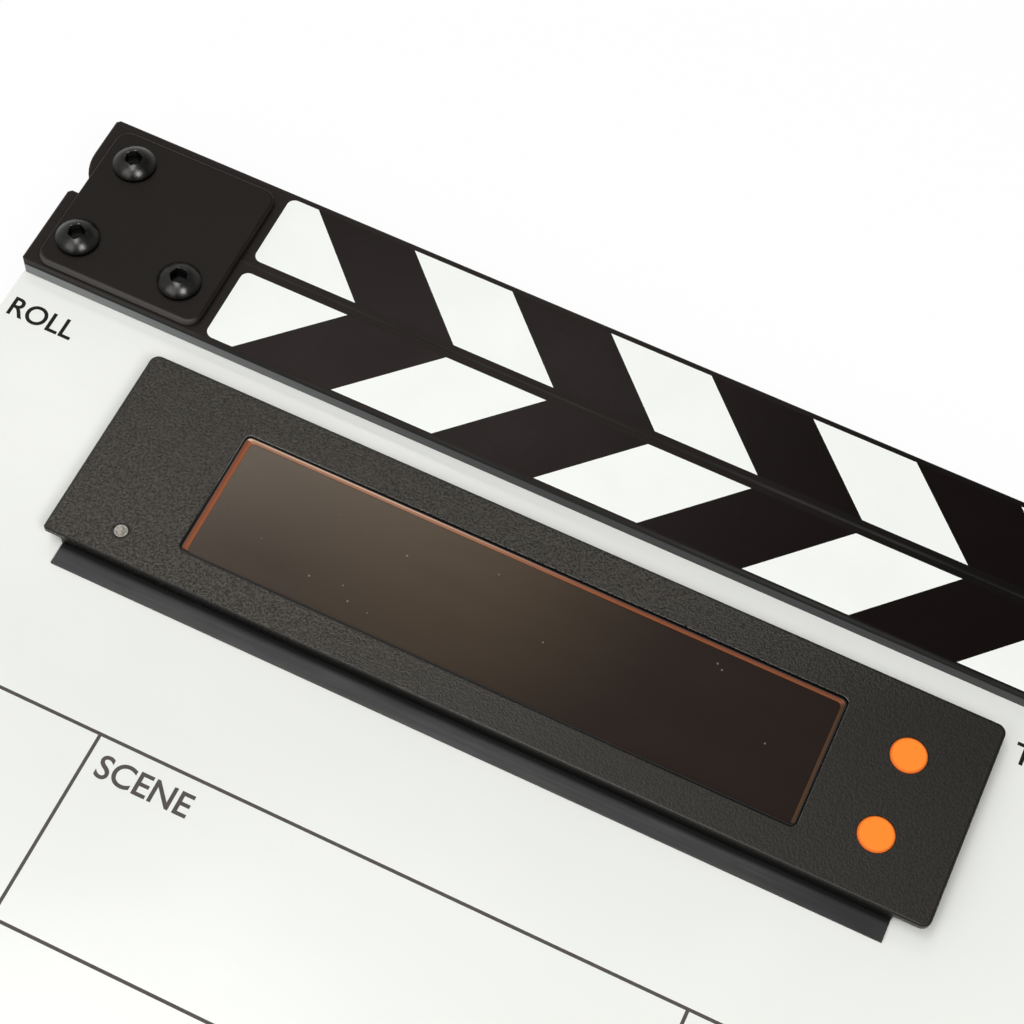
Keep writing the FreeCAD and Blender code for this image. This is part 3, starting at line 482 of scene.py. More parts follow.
def stick_paint(settings, name, node):
    """Satin black paint over drawn stock: fine lines along the stick, front edges paler, partly wear and
    partly a painted highlight, and painted light and shade along the stick.
    """
    low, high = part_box(node)
    middle, half = (low.y + high.y) / 2, (high.y - low.y) / 2
    finish = Finish(name, specular_ior_level=0.10, specular_tint=(1.0, 0.94, 0.90))
    lines = finish.grain(0.6 * MM, detail=4.0, stretch=(60.0, 1.0, 1.0), rough=0.6)
    specks = finish.grain(0.7 * MM, detail=3.0)
    x, y, z = (finish.along(axis) for axis in range(3))
    # the paler front edges are partly wear and partly a painted highlight
    edge = finish.rise(abs(y - middle), half - 0.6 * MM, half - 0.1 * MM)
    front = finish.rise(z, high.z - 1.2 * MM, high.z - 0.2 * MM)
    rubbed_and_painted_light = finish.grain(3.0 * MM, detail=3.0, stretch=(12.0, 1.0, 1.0))
    wear_and_highlight = edge * front * finish.rise(rubbed_and_painted_light, 0.2, 0.8)
    face = finish.rise(z, high.z - 0.6 * MM, high.z - 0.2 * MM)
    # painted light and shade: the sides are painted darker near the hinge and paler towards the free end
    near = finish.tones(lines, settings.flank, 0.25, 0.65)
    far = finish.tones(lines, settings.flank, 1.3, 3.6)
    flank = finish.mix(finish.rise(x, low.x, low.x + 320.0 * MM), near, far)
    if node == "lower_stick":
        flank = underside(finish, settings, lines, flank)
    # painted shade: the paint darkens towards the free end
    paint = shade_towards_free_end(finish, finish.tones(lines, settings.black, 0.7, 1.5))
    paint = finish.mix(face, flank, paint)
    finish.set("Base Color", finish.mix(0.35 * wear_and_highlight, paint, settings.rubbed_and_painted_light))
    finish.set("Roughness", 0.40 + 0.14 * lines + 0.08 * specks)
    finish.relief(lines + 0.35 * specks, depth=0.05 * MM, strength=0.45)
    return finish


def shade_towards_free_end(finish, colour):
    """A colour with painted shade that darkens it towards the sticks' free end."""
    return finish.mix(0.85 * finish.rise(finish.along(0), *FREE_END_SHADE), colour, BLACK)


def underside(finish, settings, lines, flank):
    """The lower stick's side towards the unit: a pale band near the board, painted light that is paler
    near the hinge, under a dark painted edge.
    """
    low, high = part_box("lower_stick")
    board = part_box("slate_board")[1].z
    x, y, z = (finish.along(axis) for axis in range(3))
    paint = shade_towards_free_end(finish, finish.tones(lines, settings.flank, 0.05, 0.45))
    # painted light: the pale band is painted paler near the hinge
    far = finish.rise(x, low.x, low.x + 150.0 * MM)
    tone = finish.tones(far, settings.underside, 3.2, 1.0)
    # painted light: the pale band near the board
    stock = finish.mix(0.5 - 0.5 * lines, tone, BLACK)
    split = board + 0.60 * (high.z - board)
    side = finish.mix(finish.rise(z, split, split + 0.5 * MM), stock, paint)
    here = 1.0 - finish.rise(y, low.y + 0.2 * MM, low.y + 0.6 * MM)
    return finish.mix(here, flank, side)


def stripe_film(name, colour, rough, gloss, tint):
    """Smooth film with a faint orange peel."""
    finish = Finish(name, specular_ior_level=gloss, specular_tint=tint)
    clouds = finish.grain(20.0 * MM, detail=3.0)
    peel = finish.grain(1.4 * MM)
    finish.set("Base Color", finish.tones(clouds, colour, 0.94, 1.05))
    finish.set("Roughness", rough + 0.12 * clouds)
    finish.relief(peel, depth=0.02 * MM, strength=0.3)
    return finish


def plate_coat(settings):
    """Fine powder coat on the hinge plates, with a painted highlight along the front plate's lower edge.
    """
    finish = Finish("black powder coat", specular_ior_level=0.20, specular_tint=(1.0, 0.94, 0.88))
    powder = finish.grain(0.5 * MM, detail=3.0)
    clouds = finish.grain(12.0 * MM)
    coat = finish.tones(0.5 * powder + 0.5 * clouds, settings.plate, 0.8, 1.3)
    low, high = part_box("hinge_front_plate")
    # painted highlight: the front plate's lower edge is painted paler
    edge = 1.0 - finish.rise(finish.inside(low, high, settings.plate_corner), 0.4 * MM, 1.1 * MM)
    lower = 1.0 - finish.rise(finish.along(1), low.y + 0.6 * MM, low.y + 3.0 * MM)
    finish.set("Base Color", finish.mix(edge * lower, coat, settings.plate_painted_highlight))
    finish.set("Roughness", 0.42 + 0.14 * powder)
    finish.relief(powder, depth=0.04 * MM, strength=0.4)
    return finish


def black_steel(settings, seat):
    """Blackened steel, oily and a little blotched, with painted shade on the heads' rims below a paler
    crown.
    """
    finish = Finish("blackened steel", metallic=0.9)
    blotch = finish.grain(1.6 * MM, detail=4.0)
    fine = finish.grain(0.25 * MM)
    # painted shade: the heads are painted dark below their crowns
    crown = finish.rise(finish.along(2), seat + 0.6 * MM, seat + 1.9 * MM)
    rubbed_and_painted_light = finish.tones(blotch, settings.steel, 0.45, 1.7)
    finish.set("Base Color", finish.mix(crown, shade(settings.steel, 0.12), rubbed_and_painted_light))
    finish.set("Roughness", 0.19 + 0.15 * blotch)
    finish.relief(fine, depth=0.01 * MM, strength=0.4)
    return finish


def moulded(settings):
    """Dark moulding with a spark-eroded grain, painted shade on its walls, rims and towards the buttons,
    and painted light towards its lower side.
    """
    finish = Finish("grained dark moulding", specular_ior_level=0.48, specular_tint=(1.0, 0.95, 0.88))
    grain = finish.rise(finish.grain(settings.grain, rough=0.6), 0.40, 0.62)
    dust = finish.rise(finish.grain(settings.grain * 0.6, detail=1.0), 0.38, 0.64)
    low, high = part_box("status_lens")
    hole = finish.rise(finish.ring((low + high) / 2), 2.0 * MM, 2.3 * MM)
    low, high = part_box("filter_window")
    flange = Vector((WINDOW_FLANGE, WINDOW_FLANGE, 0.0))
    opening = finish.inside(low + flange, high - flange, WINDOW_CORNER)
    flat = hole * (1.0 - finish.rise(opening, -0.45 * MM, -0.15 * MM))
    low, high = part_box("front_bezel")
    x, y, z = (finish.along(axis) for axis in range(3))
    front = finish.rise(z, high.z - 0.9 * MM, high.z - 0.3 * MM)
    face = front * flat * finish.rise(finish.inside(low, high, BEZEL_CORNER), 0.2 * MM, 0.7 * MM)
    # the grain fades flat towards the buttons, and painted shade darkens it there
    slant = x - 1.5 * (y - high.y)
    rubbed_and_painted_light = finish.rise(slant, 10.0 * MM, 100.0 * MM)
    crisp = 1.0 - 0.85 * rubbed_and_painted_light
    grain = 0.5 + (grain - 0.5) * crisp
    dust = 0.5 + (dust - 0.5) * crisp
    # painted light: the bezel is painted paler towards its lower side
    tone = finish.tones(finish.rise(y, low.y, high.y), settings.bezel, 7.6, 5.4)
    skin = finish.mix(0.65 * grain + 0.35 * dust, BLACK, tone)
    skin = finish.mix(0.65 * rubbed_and_painted_light, skin, PAINTED_SHADE)
    # painted shade: near-black off the front face, on the walls, the rounded outline and round the lens
    # hole and the window opening
    finish.set("Base Color", finish.mix(face, shade(PAINTED_SHADE, 2.0), skin))
    finish.set("Roughness", (0.24 + 0.34 * grain) * (0.25 + 0.75 * flat))
    finish.relief((grain + 0.4 * dust) * face, depth=0.22 * MM, strength=0.55)
    return finish


def housing_plastic(settings):
    """Grey plastic with draw lines along its length."""
    finish = Finish("grey drawn plastic", specular_ior_level=0.15)
    lines = finish.grain(0.9 * MM, detail=4.0, stretch=(30.0, 1.0, 1.0), rough=0.65)
    smudge = finish.grain(8.0 * MM, detail=3.0, stretch=(2.5, 1.0, 1.0))
    streaks = finish.rise(0.55 * lines + 0.45 * smudge, 0.3, 0.7)
    drawn = finish.tones(streaks, settings.housing, 0.75, 1.25)
    # painted shade: the lip is painted dark in the corner under the bezel, and towards its right end
    low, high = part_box("rear_housing")
    corner = finish.rise(finish.along(1), low.y + 3.0 * MM, low.y + 4.7 * MM)
    end = finish.rise(finish.along(0), high.x - 70.0 * MM, high.x)
    finish.set("Base Color", finish.mix((0.92 * corner).most(0.42 * end), drawn, PAINTED_SHADE))
    finish.set("Roughness", 0.45 + 0.2 * lines)
    finish.relief(lines, depth=0.05 * MM, strength=0.45)
    return finish


def smoked_glass(settings):
    """Smoked window face with a few specks of dust, faint wipe marks and a painted glow in its middle."""
    finish = Finish("smoked window", specular_ior_level=0.5, specular_tint=(1.0, 0.84, 0.66))
    sockets = {"Vector": finish.spot, "Scale": 230.0, "Randomness": 1.0}
    dots = finish.add("ShaderNodeTexVoronoi", {"feature": "F1"}, sockets)
    chosen = finish.rise(finish.grain(9.0 * MM, detail=0.0), 0.53, 0.60)
    dust = (1.0 - finish.rise(dots, 0.03, 0.07)) * chosen
    wipes = finish.grain(4.0 * MM, detail=3.0, stretch=(6.0, 1.0, 1.0))
    low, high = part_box("filter_window")
    # painted light: a paler glow in the middle, shifted up and to the left
    glow = 1.0 - finish.rise(finish.ring((low + high) / 2 + Vector(PAINTED_GLOW_SHIFT)), 4.0 * MM, 55.0 * MM)
    smoke = finish.mix(glow, settings.window, settings.window_painted_glow)
    finish.set("Base Color", finish.mix(0.5 * dust, smoke, settings.window_dust))
    finish.set("Roughness", 0.16 + 0.06 * wipes + 0.4 * dust)
    return finish


def amber(settings, bowl, top):
    """The window's edge, where light comes through the amber acrylic between two heights."""
    finish = Finish("amber edge", specular_ior_level=0.2, roughness=0.22)
    streak = finish.grain(6.0 * MM, detail=3.0)
    x, y, z = (finish.along(axis) for axis in range(3))

    def above(first, last):
        return finish.rise(z, bowl + first * (top - bowl), bowl + last * (top - bowl))

    core = finish.mix(above(0.30, 0.62), settings.window_glint, settings.window_edge)
    core = finish.mix(0.3 * streak, core, shade(settings.window_edge, 0.5))
    # painted shade at the foot of the slope
    core = finish.mix(above(0.0, 0.12), shade(settings.window_edge, 0.35), core)
    # painted shade dims the edge at the right, and a painted highlight draws a pale line at the upper left
    low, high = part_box("filter_window")
    upper = finish.rise(y, high.y - 3.2 * MM, high.y - 2.9 * MM)
    dim = finish.rise(x, (low.x + high.x) / 2, high.x) * (0.8 - 0.6 * upper)
    core = finish.mix(dim, core, settings.window_dim)
    caught = upper * (1.0 - finish.rise(x, low.x + 30.0 * MM, low.x + 100.0 * MM))
    caught = caught * (0.25 + 0.6 * above(0.5, 0.75))
    finish.set("Base Color", finish.mix(caught, core, settings.window_highlight_line))
    return finish


def button_rubber(settings, name, centre):
    """Orange cap, flat and matt, with painted shade round its rim."""
    finish = Finish(name, specular_ior_level=0.25)
    # painted shade round the cap's rim
    rim = finish.rise(finish.ring(centre), 3.4 * MM, 4.3 * MM)
    powder = finish.grain(0.6 * MM, detail=3.0)
    cap = finish.tones(powder, settings.button, 0.97, 1.02)
    finish.set("Base Color", finish.mix(rim, cap, settings.button_rim_shade))
    finish.set("Roughness", 0.5 + 0.12 * powder)
    finish.relief(powder, depth=0.03 * MM, strength=0.2)
    return finish


def light_pipe(centre):
    """Clear lens over a white light, with frost inside it and a painted highlight round its rim."""
    finish = Finish("clear light pipe", specular_ior_level=0.4)
    hollow, milk, bright = (0.05, 0.046, 0.039), (0.38, 0.345, 0.29), (0.50, 0.47, 0.42)
    frost = finish.grain(0.9 * MM, detail=4.0, rough=0.7)
    core = finish.mix(finish.rise(frost, 0.36, 0.62), hollow, milk)
    # painted highlight round the lens's rim
    rim = finish.rise(finish.ring(centre), 0.9 * MM, 1.4 * MM)
    finish.set("Base Color", finish.mix(0.5 * rim, core, bright))
    finish.set("Roughness", 0.12 + 0.2 * frost)
    finish.relief(frost, depth=0.15 * MM, strength=0.6)
    return finish


def metal(name, colour, size, rough, stretch=EVEN):
    """Bare metal with lines or blotches of the given size."""
    finish = Finish(name, metallic=1.0)
    lines = finish.grain(size, detail=4.0, stretch=stretch)
    finish.set("Base Color", finish.tones(lines, colour, 0.8, 1.12))
    finish.set("Roughness", rough + 0.15 * lines)
    finish.relief(lines, depth=0.02 * MM, strength=0.35)
    return finish


def plain_plastic(name, colour, rough=0.4):
    """Moulded plastic with a fine mottle."""
    finish = Finish(name, specular_ior_level=0.4)
    mottle = finish.grain(0.8 * MM, detail=3.0)
    finish.set("Base Color", finish.tones(mottle, colour, 0.8, 1.2))
    finish.set("Roughness", rough + 0.15 * mottle)
    finish.relief(mottle, depth=0.03 * MM, strength=0.3)
    return finish


def circuit_green():
    """Green solder mask with raised tracks and bare pads."""
    finish = Finish("green solder mask", specular_ior_level=0.5)
    between, track, dull = (0.010, 0.085, 0.030), (0.020, 0.14, 0.055), (0.015, 0.06, 0.03)
    sockets = {"Vector": finish.spot, "Scale": 300.0, "Mortar Size": 0.08, "Brick Width": 1.4,
               "Row Height": 0.5, "Color1": WHITE, "Color2": WHITE, "Mortar": BLACK}
    tracks = finish.add("ShaderNodeTexBrick", {}, sockets, output="Fac")
    fleck = finish.grain(2.0 * MM, detail=3.0)
    finish.set("Base Color", finish.mix(0.3 * fleck, finish.mix(tracks, between, track), dull))
    finish.set("Roughness", 0.3 + 0.15 * fleck)
    finish.relief(tracks, depth=0.05 * MM, strength=0.4)
    return finish


# Screws by nodes


def screw_tree():
    """Geometry nodes that set a domed socket screw on every point they are given."""
    tree = bpy.data.node_groups.new("Domed socket screws", "GeometryNodeTree")
    tree.interface.new_socket("Places", in_out="INPUT", socket_type="NodeSocketGeometry")
    for name in ("Head Radius", "Head Height", "Key Width", "Key Depth", "Shank Radius", "Shank Length"):
        tree.interface.new_socket(name, in_out="INPUT", socket_type="NodeSocketFloat")
    tree.interface.new_socket("Turn Seed", in_out="INPUT", socket_type="NodeSocketInt")
    tree.interface.new_socket("Finish", in_out="INPUT", socket_type="NodeSocketMaterial")
    tree.interface.new_socket("Screws", in_out="OUTPUT", socket_type="NodeSocketGeometry")
    wiring = Wiring(tree)
    given = {out.name: Wire(wiring, out) for out in tree.nodes.new("NodeGroupInput").outputs if out.name}
    radius, height = given["Head Radius"], given["Head Height"]
    shank, length = given["Shank Radius"], given["Shank Length"]
    half = given["Key Width"] * 0.5
    rim, lead, bevel, tip = 0.8 * MM, 0.2 * MM, 0.12 * MM, 0.5 * MM
    around, steps = 49, 10
    crown = height - rim
    ball = (radius * radius + crown * crown) / (2.0 * crown)

    def dome(away):
        return (ball * ball - away * away) ** 0.5 - ball + height

    # the innermost round ring lies past the hexagon's corners
    mouth = half * 1.3
    floor = height - given["Key Depth"]
    # each ring: distance from the axis, height, share of the hexagon, 1 where it lies on the dome
    profile = [
        (0.0, floor, 1.0, 0.0),
        (half, floor, 1.0, 0.0),
        (half, dome(half) - lead, 1.0, 0.0),
        (half + bevel, 0.0, 1.0, 1.0),
    ]
    for step in range(steps + 1):
        profile.append((mouth + (radius - mouth) * (step / steps), 0.0, 0.0, 1.0))
    profile += [
        (radius, 0.0, 0.0, 0.0),
        (shank, 0.0, 0.0, 0.0),
        (shank, tip - length, 0.0, 0.0),
        (shank - tip, 0.0 - length, 0.0, 0.0),
        (0.0, 0.0 - length, 0.0, 0.0),
    ]
    rings = len(profile)
    sheet = wiring.add("GeometryNodeMeshGrid", {}, {
        "Size X": 1.0, "Size Y": 1.0, "Vertices X": around, "Vertices Y": rings})
    spot = wiring.add("GeometryNodeInputPosition")
    across, up = (wiring.add("ShaderNodeSeparateXYZ", {}, {0: spot}, output=n) for n in (0, 1))
    angle = (across + 0.5) * (2.0 * math.pi)
    # a ring's number, with a little to spare before the index switch cuts it to a whole one
    ring = (up + 0.5) * (rings - 1.0) + 0.25

    def pick(column):
        sockets = {0: ring}
        sockets.update({n + 1: row[column] for n, row in enumerate(profile)})
        return wiring.add("GeometryNodeIndexSwitch", {"data_type": "FLOAT", "choices": rings}, sockets)

    hexagon = 1.0 / ((angle % (math.pi / 3)) - math.pi / 6).cosine()
    share = pick(2)
    away = pick(0) * (share * hexagon + (1.0 - share))
    domed = pick(3)
    level = domed * dome(away) + (1.0 - domed) * pick(1)
    point = wiring.add("ShaderNodeCombineXYZ", {}, {
        0: away * angle.cosine(), 1: away * angle.sine(), 2: level})
    skin = wiring.add("GeometryNodeSetPosition", {}, {"Geometry": sheet, "Position": point})
    skin = wiring.add("GeometryNodeMergeByDistance", {}, {"Geometry": skin, "Distance": 1e-6})
    turn = wiring.add("FunctionNodeRandomValue", {"data_type": "FLOAT"}, {
        2: 0.0, 3: math.pi / 3, "Seed": given["Turn Seed"]}, output=1)
    turned = wiring.add("ShaderNodeCombineXYZ", {}, {2: turn})
    screws = wiring.add("GeometryNodeInstanceOnPoints", {}, {
        "Points": given["Places"], "Instance": skin, "Rotation": turned})
    screws = wiring.add("GeometryNodeRealizeInstances", {}, {"Geometry": screws})
    screws = wiring.add("GeometryNodeSetMaterial", {}, {"Geometry": screws, "Material": given["Finish"]})
    end = tree.nodes.new("NodeGroupOutput")
    tree.links.new(screws.socket, end.inputs["Screws"])
    return tree


def set_screws(name, tree, places, values):
    """Runs the screw tree over the places and gives back a plain mesh."""
    points = bpy.data.meshes.new(name + "_places")
    points.from_pydata(places, [], [])
    host = show(points, name + "_host")
    modifier = host.modifiers.new("Screws", "NODES")
    modifier.node_group = tree
    for item in tree.interface.items_tree:
        if item.in_out == "INPUT" and item.name in values:
            modifier[item.identifier] = values[item.name]
    mesh = solid_from(host, name)
    if not mesh.polygons:
        raise RuntimeError(f"no screws were made for {name}")
    return tidy(mesh)


# Operators


class SLATE_OT_board(bpy.types.Operator):
    """Dress the writing board and its ruled lines"""

    bl_idname = "slate.board"
    bl_label = "Writing board"

    def execute(self, context):
        settings = context.scene.slate_board
        dress(acrylic(settings), "slate_board")
        dress(ink(settings), "grid_lines")
        return {"FINISHED"}


class SLATE_OT_labels(bpy.types.Operator):
    """Print the field labels on the board"""

    bl_idname = "slate.labels"
    bl_label = "Field labels"

    def execute(self, context):
        settings = context.scene.slate_board
        finish = ink(settings)
        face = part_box("slate_board")[1].z
        for name, key, (x, y), scale in LABELS:
            text = bpy.data.curves.new(name, "FONT")
            text.body = getattr(settings, key)
            text.size = settings.label_height * scale / CAPITALS
            text.extrude = settings.label_relief / 2
            text.offset = LABEL_WEIGHT
            text.resolution_u = 6
            mesh = solid_from(show(text, name + "_type"), name)
            mesh.transform(Matrix.Translation((x * MM, y * MM, face + settings.label_relief / 2)))
            place_piece(name, tidy(mesh), finish)
        return {"FINISHED"}


class SLATE_OT_sticks(bpy.types.Operator):
    """Dress both clapsticks and their striped inlays"""

    bl_idname = "slate.sticks"
    bl_label = "Clapsticks"

    def execute(self, context):
        settings = context.scene.slate_sticks
        for node in ("lower_stick", "upper_stick"):
            dress(stick_paint(settings, node.replace("_", " ") + " paint", node), node)
        dress(stripe_film("white stripe film", settings.stripe_white, 0.28, 0.45, WHITE),
              "lower_white_stripes", "upper_white_stripes")
        dress(stripe_film("black stripe film", settings.stripe_black, 0.22, 0.18, (1.0, 0.86, 0.82)),
              "lower_black_stripes", "upper_black_stripes")
        return {"FINISHED"}


class SLATE_OT_hinge_plates(bpy.types.Operator):
    """Make the front hinge plate with its soft edge, and dress the back one"""

    bl_idname = "slate.hinge_plates"
    bl_label = "Hinge plates"

    def execute(self, context):
        settings = context.scene.slate_hinge
        low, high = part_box("hinge_front_plate")
        thick = high.z - low.z
        # the round stays a little under half the thickness
        edge = min(settings.plate_round, thick * 0.49)
        curve = bpy.data.curves.new("hinge_plate_outline", "CURVE")
        curve.dimensions = "2D"
        curve.fill_mode = "BOTH"
        curve.extrude = thick / 2 - edge
        curve.bevel_depth = edge
        curve.bevel_resolution = 4
        curve.offset = -edge
        outlines = [rounded(low, high, settings.plate_corner, steps=10)]
        around, play = 32, 0.05 * MM
        reach = settings.shank_radius + play
        for x, y in screw_places():
            turns = [math.tau * n / around for n in range(around)]
            outlines.append([(x + reach * math.cos(a), y - reach * math.sin(a)) for a in turns])
        for outline in outlines:
            spline = curve.splines.new("POLY")
            spline.points.add(len(outline) - 1)
            for point, (x, y) in zip(spline.points, outline):
                point.co = (x, y, 0.0, 1.0)
            spline.use_cyclic_u = True
        mesh = solid_from(show(curve, "hinge_plate_curve"), "hinge_plate")
        mesh.transform(Matrix.Translation((0.0, 0.0, (low.z + high.z) / 2)))
        finish = plate_coat(settings)
        place_piece("hinge_plate", tidy(mesh, angle=40.0), finish, ["hinge_front_plate"])
        dress(finish, "hinge_back_plate")
        return {"FINISHED"}


def screw_places():
    """Middles of the two fixing screws and the pivot screw."""
    radius = bpy.context.scene.slate_hinge.head_radius
    low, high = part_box("hinge_screws")
    first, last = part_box("pivot_screw")
    return [
        (low.x + radius, (low.y + high.y) / 2),
        (high.x - radius, (low.y + high.y) / 2),
        ((first.x + last.x) / 2, (first.y + last.y) / 2),
    ]


class SLATE_OT_hinge_screws(bpy.types.Operator):
    """Set the domed screws of the hinge"""

    bl_idname = "slate.hinge_screws"
    bl_label = "Hinge screws"

    def execute(self, context):
        settings = context.scene.slate_hinge
        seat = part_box("hinge_front_plate")[1].z
        finish = black_steel(settings, seat)
        values = {
            "Head Radius": settings.head_radius, "Head Height": settings.head_height,
            "Key Width": settings.key_width, "Key Depth": settings.key_depth,
            "Shank Radius": settings.shank_radius, "Shank Length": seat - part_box("hinge_screws")[0].z,
            "Turn Seed": settings.turn_seed, "Finish": finish.material,
        }
        tree = screw_tree()
        places = [(x, y, seat) for x, y in screw_places()]
        groups = [
            ("fixing_screws", "hinge_screws", places[:2]),
            ("hinge_pivot", "pivot_screw", places[2:]),
        ]
        for name, node, spots in groups:
            mesh = set_screws(name, tree, spots, values)
            place_piece(name, mesh, finish, [node])
        dress(finish, "case_screws")
        return {"FINISHED"}


class SLATE_OT_unit(bpy.types.Operator):
    """Dress the display unit's bezel and housing"""

    bl_idname = "slate.unit"
    bl_label = "Display unit"

    def execute(self, context):
        settings = context.scene.slate_unit
        dress(moulded(settings), "front_bezel")
        dress(housing_plastic(settings), "rear_housing")
        return {"FINISHED"}


class SLATE_OT_window(bpy.types.Operator):
    """Make the smoked window with its amber edge"""

    bl_idname = "slate.window"
    bl_label = "Window"

    def execute(self, context):
        settings = context.scene.slate_unit
        low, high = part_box("filter_window")
        edge = WINDOW_FLANGE + WINDOW_PLAY
        step = low.z + WINDOW_FLANGE_THICK
        bevel, sharp = 0.05 * MM, 0.25 * MM

        def outline(inset, z, more=(0.0, 0.0, 0.0, 0.0)):
            left, below, right, above = (edge + inset + extra for extra in more)
            radius = max(WINDOW_CORNER - inset, sharp) if inset > -WINDOW_CORNER else sharp
            first, last = (low.x + left, low.y + below), (high.x - right, high.y - above)
            return [(x, y, z) for x, y in rounded(first, last, radius)]

        bowl = high.z - settings.window_sink
        # the slope runs furthest at the left, then at the right, the top and the bottom
        slopes = [settings.window_slope * share for share in (1.3, 0.5, 0.85, 0.55)]
        rings = [
            outline(-edge, low.z),
            outline(-edge, step),
            outline(0.0, step),
            outline(0.0, high.z - bevel),
            outline(bevel, high.z),
            outline(settings.window_rim, high.z),
            outline(settings.window_rim, bowl, slopes),
        ]
        mesh = shell("window", rings)
        # painted shadow: a near-black rim on the window's top faces
        shadow_rim = plain_plastic("dark window rim", (0.003, 0.0025, 0.0025), rough=0.5)
        for finish in (smoked_glass(settings), amber(settings, bowl, high.z), shadow_rim):
            mesh.materials.append(finish.material)
        mesh = tidy(mesh, angle=30.0)
        # amber lies on the bowl's slopes, apart from the lower one
        for face in mesh.polygons:
            on_slope = 0.1 < face.normal.z < 0.95 and face.normal.y < 0.5
            if face.center.z > high.z - 2 * bevel:
                face.material_index = mesh.materials.find("dark window rim")
            elif on_slope:
                face.material_index = mesh.materials.find("amber edge")
        place_piece("window", mesh, nodes=["filter_window"])
        return {"FINISHED"}


class SLATE_OT_buttons(bpy.types.Operator):
    """Dress the two buttons and the small light"""

    bl_idname = "slate.buttons"
    bl_label = "Buttons and light"

    def execute(self, context):
        settings = context.scene.slate_unit
        for node in ("upper_button", "lower_button"):
            low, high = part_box(node)
            dress(button_rubber(settings, node.replace("_", " ") + " cap", (low + high) / 2), node)
        low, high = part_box("status_lens")
        dress(light_pipe((low + high) / 2), "status_lens")
        return {"FINISHED"}


class SLATE_OT_inside(bpy.types.Operator):
    """Dress the unit's inner parts"""

    bl_idname = "slate.inside"
    bl_label = "Inner parts"

    def execute(self, context):
        dress(plain_plastic("digit faces", (0.02, 0.02, 0.022), rough=0.35), "digit_modules")
        dress(circuit_green(), "display_board", "charge_board")
        dress(plain_plastic("black switch plastic", (0.018, 0.018, 0.018)),
              "button_switches", "timecode_jack")
        dress(plain_plastic("white light body", (0.75, 0.74, 0.68), rough=0.3), "status_led")
        dress(metal("battery foil", (0.55, 0.56, 0.58), 3.0 * MM, 0.3), "battery_cell")
        return {"FINISHED"}


class SLATE_OT_fixings(bpy.types.Operator):
    """Dress the bush, insert, clips and small screws"""

    bl_idname = "slate.fixings"
    bl_label = "Fixings"

    def execute(self, context):
        dress(metal("turned brass", (0.62, 0.42, 0.16), 0.4 * MM, 0.25, stretch=(1.0, 1.0, 0.15)),
              "pivot_bush", "thread_insert")
        dress(metal("zinc plate", (0.56, 0.57, 0.58), 0.7 * MM, 0.3), "stick_screws", "charge_socket")
        dress(metal("spring steel", (0.42, 0.42, 0.43), 0.6 * MM, 0.28, stretch=(20.0, 1.0, 1.0)),
              "lower_clip", "upper_clip")
        return {"FINISHED"}


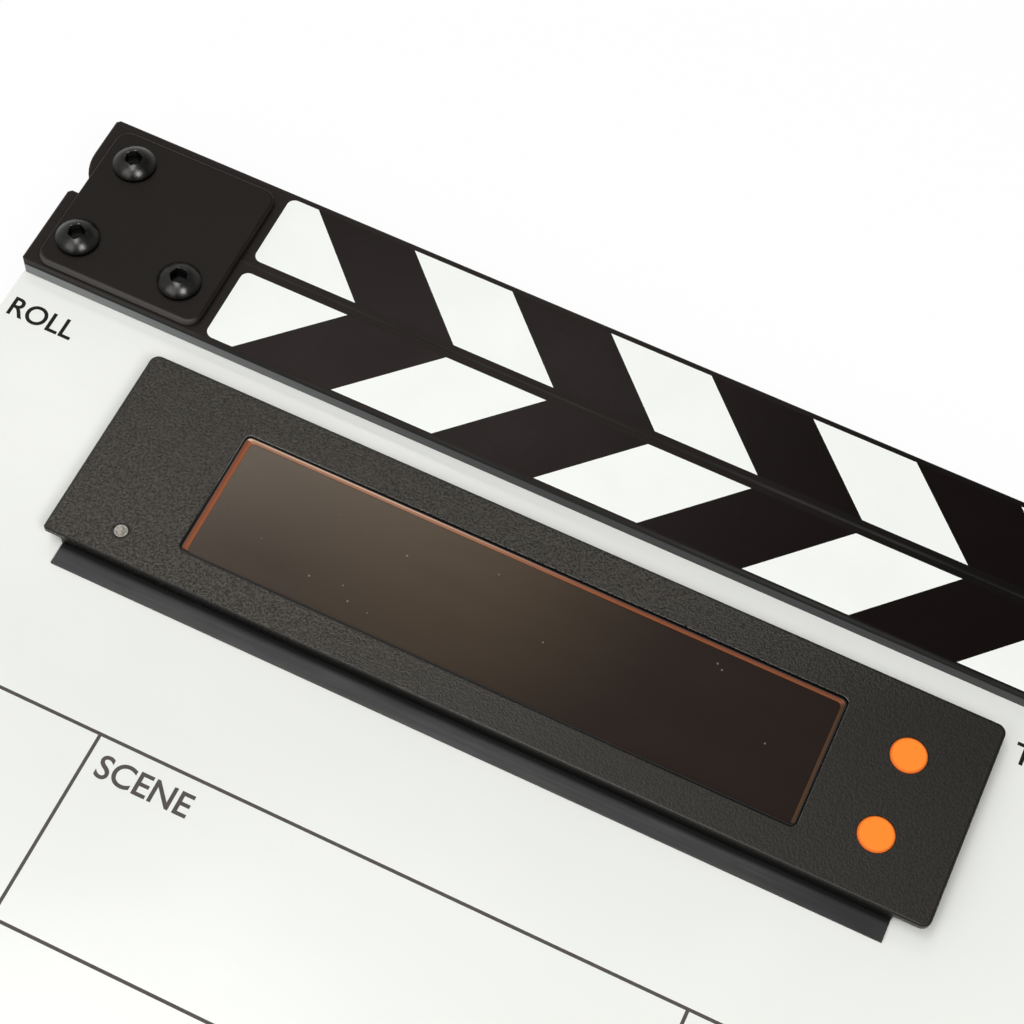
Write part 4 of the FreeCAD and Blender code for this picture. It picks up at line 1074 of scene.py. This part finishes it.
class SLATE_OT_stage(bpy.types.Operator):
    """Set the floor, the light and the camera"""

    bl_idname = "slate.stage"
    bl_label = "Stage"

    def execute(self, context):
        settings = context.scene.slate_stage
        self.lay_floor(settings)
        self.light_sky(context.scene, settings)
        for name, key, place, size in SOFTBOXES:
            self.hang(name, place, size, getattr(settings, key))
        self.set_camera(context.scene, settings)
        context.scene.view_settings.view_transform = "Standard"
        return {"FINISHED"}

    def lay_floor(self, settings):
        finish = Finish("pale floor", roughness=0.9, specular_ior_level=0.1)
        mottle = finish.grain(400.0 * MM)
        finish.set("Base Color", finish.mix(mottle, shade(settings.floor, 0.99), settings.floor))
        seen = direct_view(finish) * settings.floor_glow
        glow = finish.add("ShaderNodeEmission", {}, {"Color": WHITE, "Strength": 1.0})
        both = finish.add("ShaderNodeMixShader", {}, {
            0: seen, 1: Wire(finish, finish.surface.outputs["BSDF"]), 2: glow})
        end = next(node for node in finish.tree.nodes if node.type == "OUTPUT_MATERIAL")
        finish.feed(end.inputs["Surface"], both)
        reach = settings.floor_reach
        corners = [(x * reach, y * reach, 0.0) for x, y in ((-1, -1), (1, -1), (1, 1), (-1, 1))]
        mesh = bpy.data.meshes.new("floor")
        mesh.from_pydata(corners, [], [(0, 1, 2, 3)])
        mesh.materials.append(finish.material)
        show(mesh, "floor")

    def light_sky(self, scene, settings):
        world = bpy.data.worlds.new("white room")
        world.use_nodes = True
        world.node_tree.nodes.clear()
        sky = Wiring(world.node_tree)
        heading = sky.add("ShaderNodeTexCoord", output="Generated")
        across, height = (sky.add("ShaderNodeSeparateXYZ", {}, {0: heading}, output=n) for n in (0, 2))

        def fade(value, low, high, first, last):
            sockets = {"Value": value, "From Min": low, "From Max": high, "To Min": first, "To Max": last}
            return sky.add("ShaderNodeMapRange", {"interpolation_type": "SMOOTHSTEP"}, sockets)

        # the ceiling is bright at the left only, the walls a little weaker at the right
        ceiling = fade(across, -0.38, 0.02, 2.0 * settings.ceiling, 0.42 * settings.ceiling)
        walls = fade(across, -0.5, 0.5, settings.walls, 0.85 * settings.walls)
        room = fade(height, 0.0, 0.75, walls, ceiling)
        glow = sky.add("ShaderNodeBackground", {}, {"Color": WHITE, "Strength": room})
        end = world.node_tree.nodes.new("ShaderNodeOutputWorld")
        sky.feed(end.inputs["Surface"], glow)
        scene.world = world

    def hang(self, name, place, size, power):
        lamp = bpy.data.lights.new(name, "AREA")
        lamp.shape = "RECTANGLE"
        lamp.size, lamp.size_y = size
        lamp.energy = power
        box = show(lamp, name)
        box.location = place
        box.rotation_euler = Vector(place).to_track_quat("Z", "Y").to_euler()

    def set_camera(self, scene, settings):
        camera = bpy.data.cameras.new("camera")
        camera.lens = settings.lens
        camera.sensor_width = SENSOR_WIDTH
        camera.clip_start = CLIP_START
        stand = show(camera, "camera")
        turn = Matrix(CAMERA_AXES).transposed().to_4x4()
        stand.matrix_world = Matrix.Translation(CAMERA_PLACE) @ turn
        scene.camera = stand


def direct_view(wiring):
    """1 for rays that show the white room itself, straight or in gloss and glass."""
    kinds = [wiring.add("ShaderNodeLightPath", output=f"Is {kind} Ray")
             for kind in ("Camera", "Glossy", "Transmission")]
    return kinds[0].most(kinds[1]).most(kinds[2])


# Panel and registration

STEPS = ("board", "labels", "sticks", "hinge_plates", "hinge_screws", "unit", "window", "buttons",
         "inside", "fixings", "stage")

SETTINGS = {
    "slate_board": BoardSettings,
    "slate_sticks": StickSettings,
    "slate_hinge": HingeSettings,
    "slate_unit": UnitSettings,
    "slate_stage": StageSettings,
}


class SLATE_PT_looks(bpy.types.Panel):
    """Lists the slate's settings and the steps that dress it"""

    bl_idname = "SLATE_PT_looks"
    bl_label = "Film slate"
    bl_space_type = "VIEW_3D"
    bl_region_type = "UI"
    bl_category = "Slate"

    def draw(self, context):
        for name, group in SETTINGS.items():
            box = self.layout.box()
            for key in group.__annotations__:
                box.prop(getattr(context.scene, name), key)
        for step in STEPS:
            self.layout.operator("slate." + step)


CLASSES = (
    *SETTINGS.values(), SLATE_OT_board, SLATE_OT_labels, SLATE_OT_sticks, SLATE_OT_hinge_plates,
    SLATE_OT_hinge_screws, SLATE_OT_unit, SLATE_OT_window, SLATE_OT_buttons, SLATE_OT_inside,
    SLATE_OT_fixings, SLATE_OT_stage, SLATE_PT_looks,
)


def register():
    for kind in CLASSES:
        bpy.utils.register_class(kind)
    for name, group in SETTINGS.items():
        setattr(bpy.types.Scene, name, PointerProperty(type=group))


def unregister():
    for name in SETTINGS:
        delattr(bpy.types.Scene, name)
    for kind in reversed(CLASSES):
        bpy.utils.unregister_class(kind)


def main():
    register()
    for step in STEPS:
        getattr(bpy.ops.slate, step)()


if __name__ == "__main__":
    main()
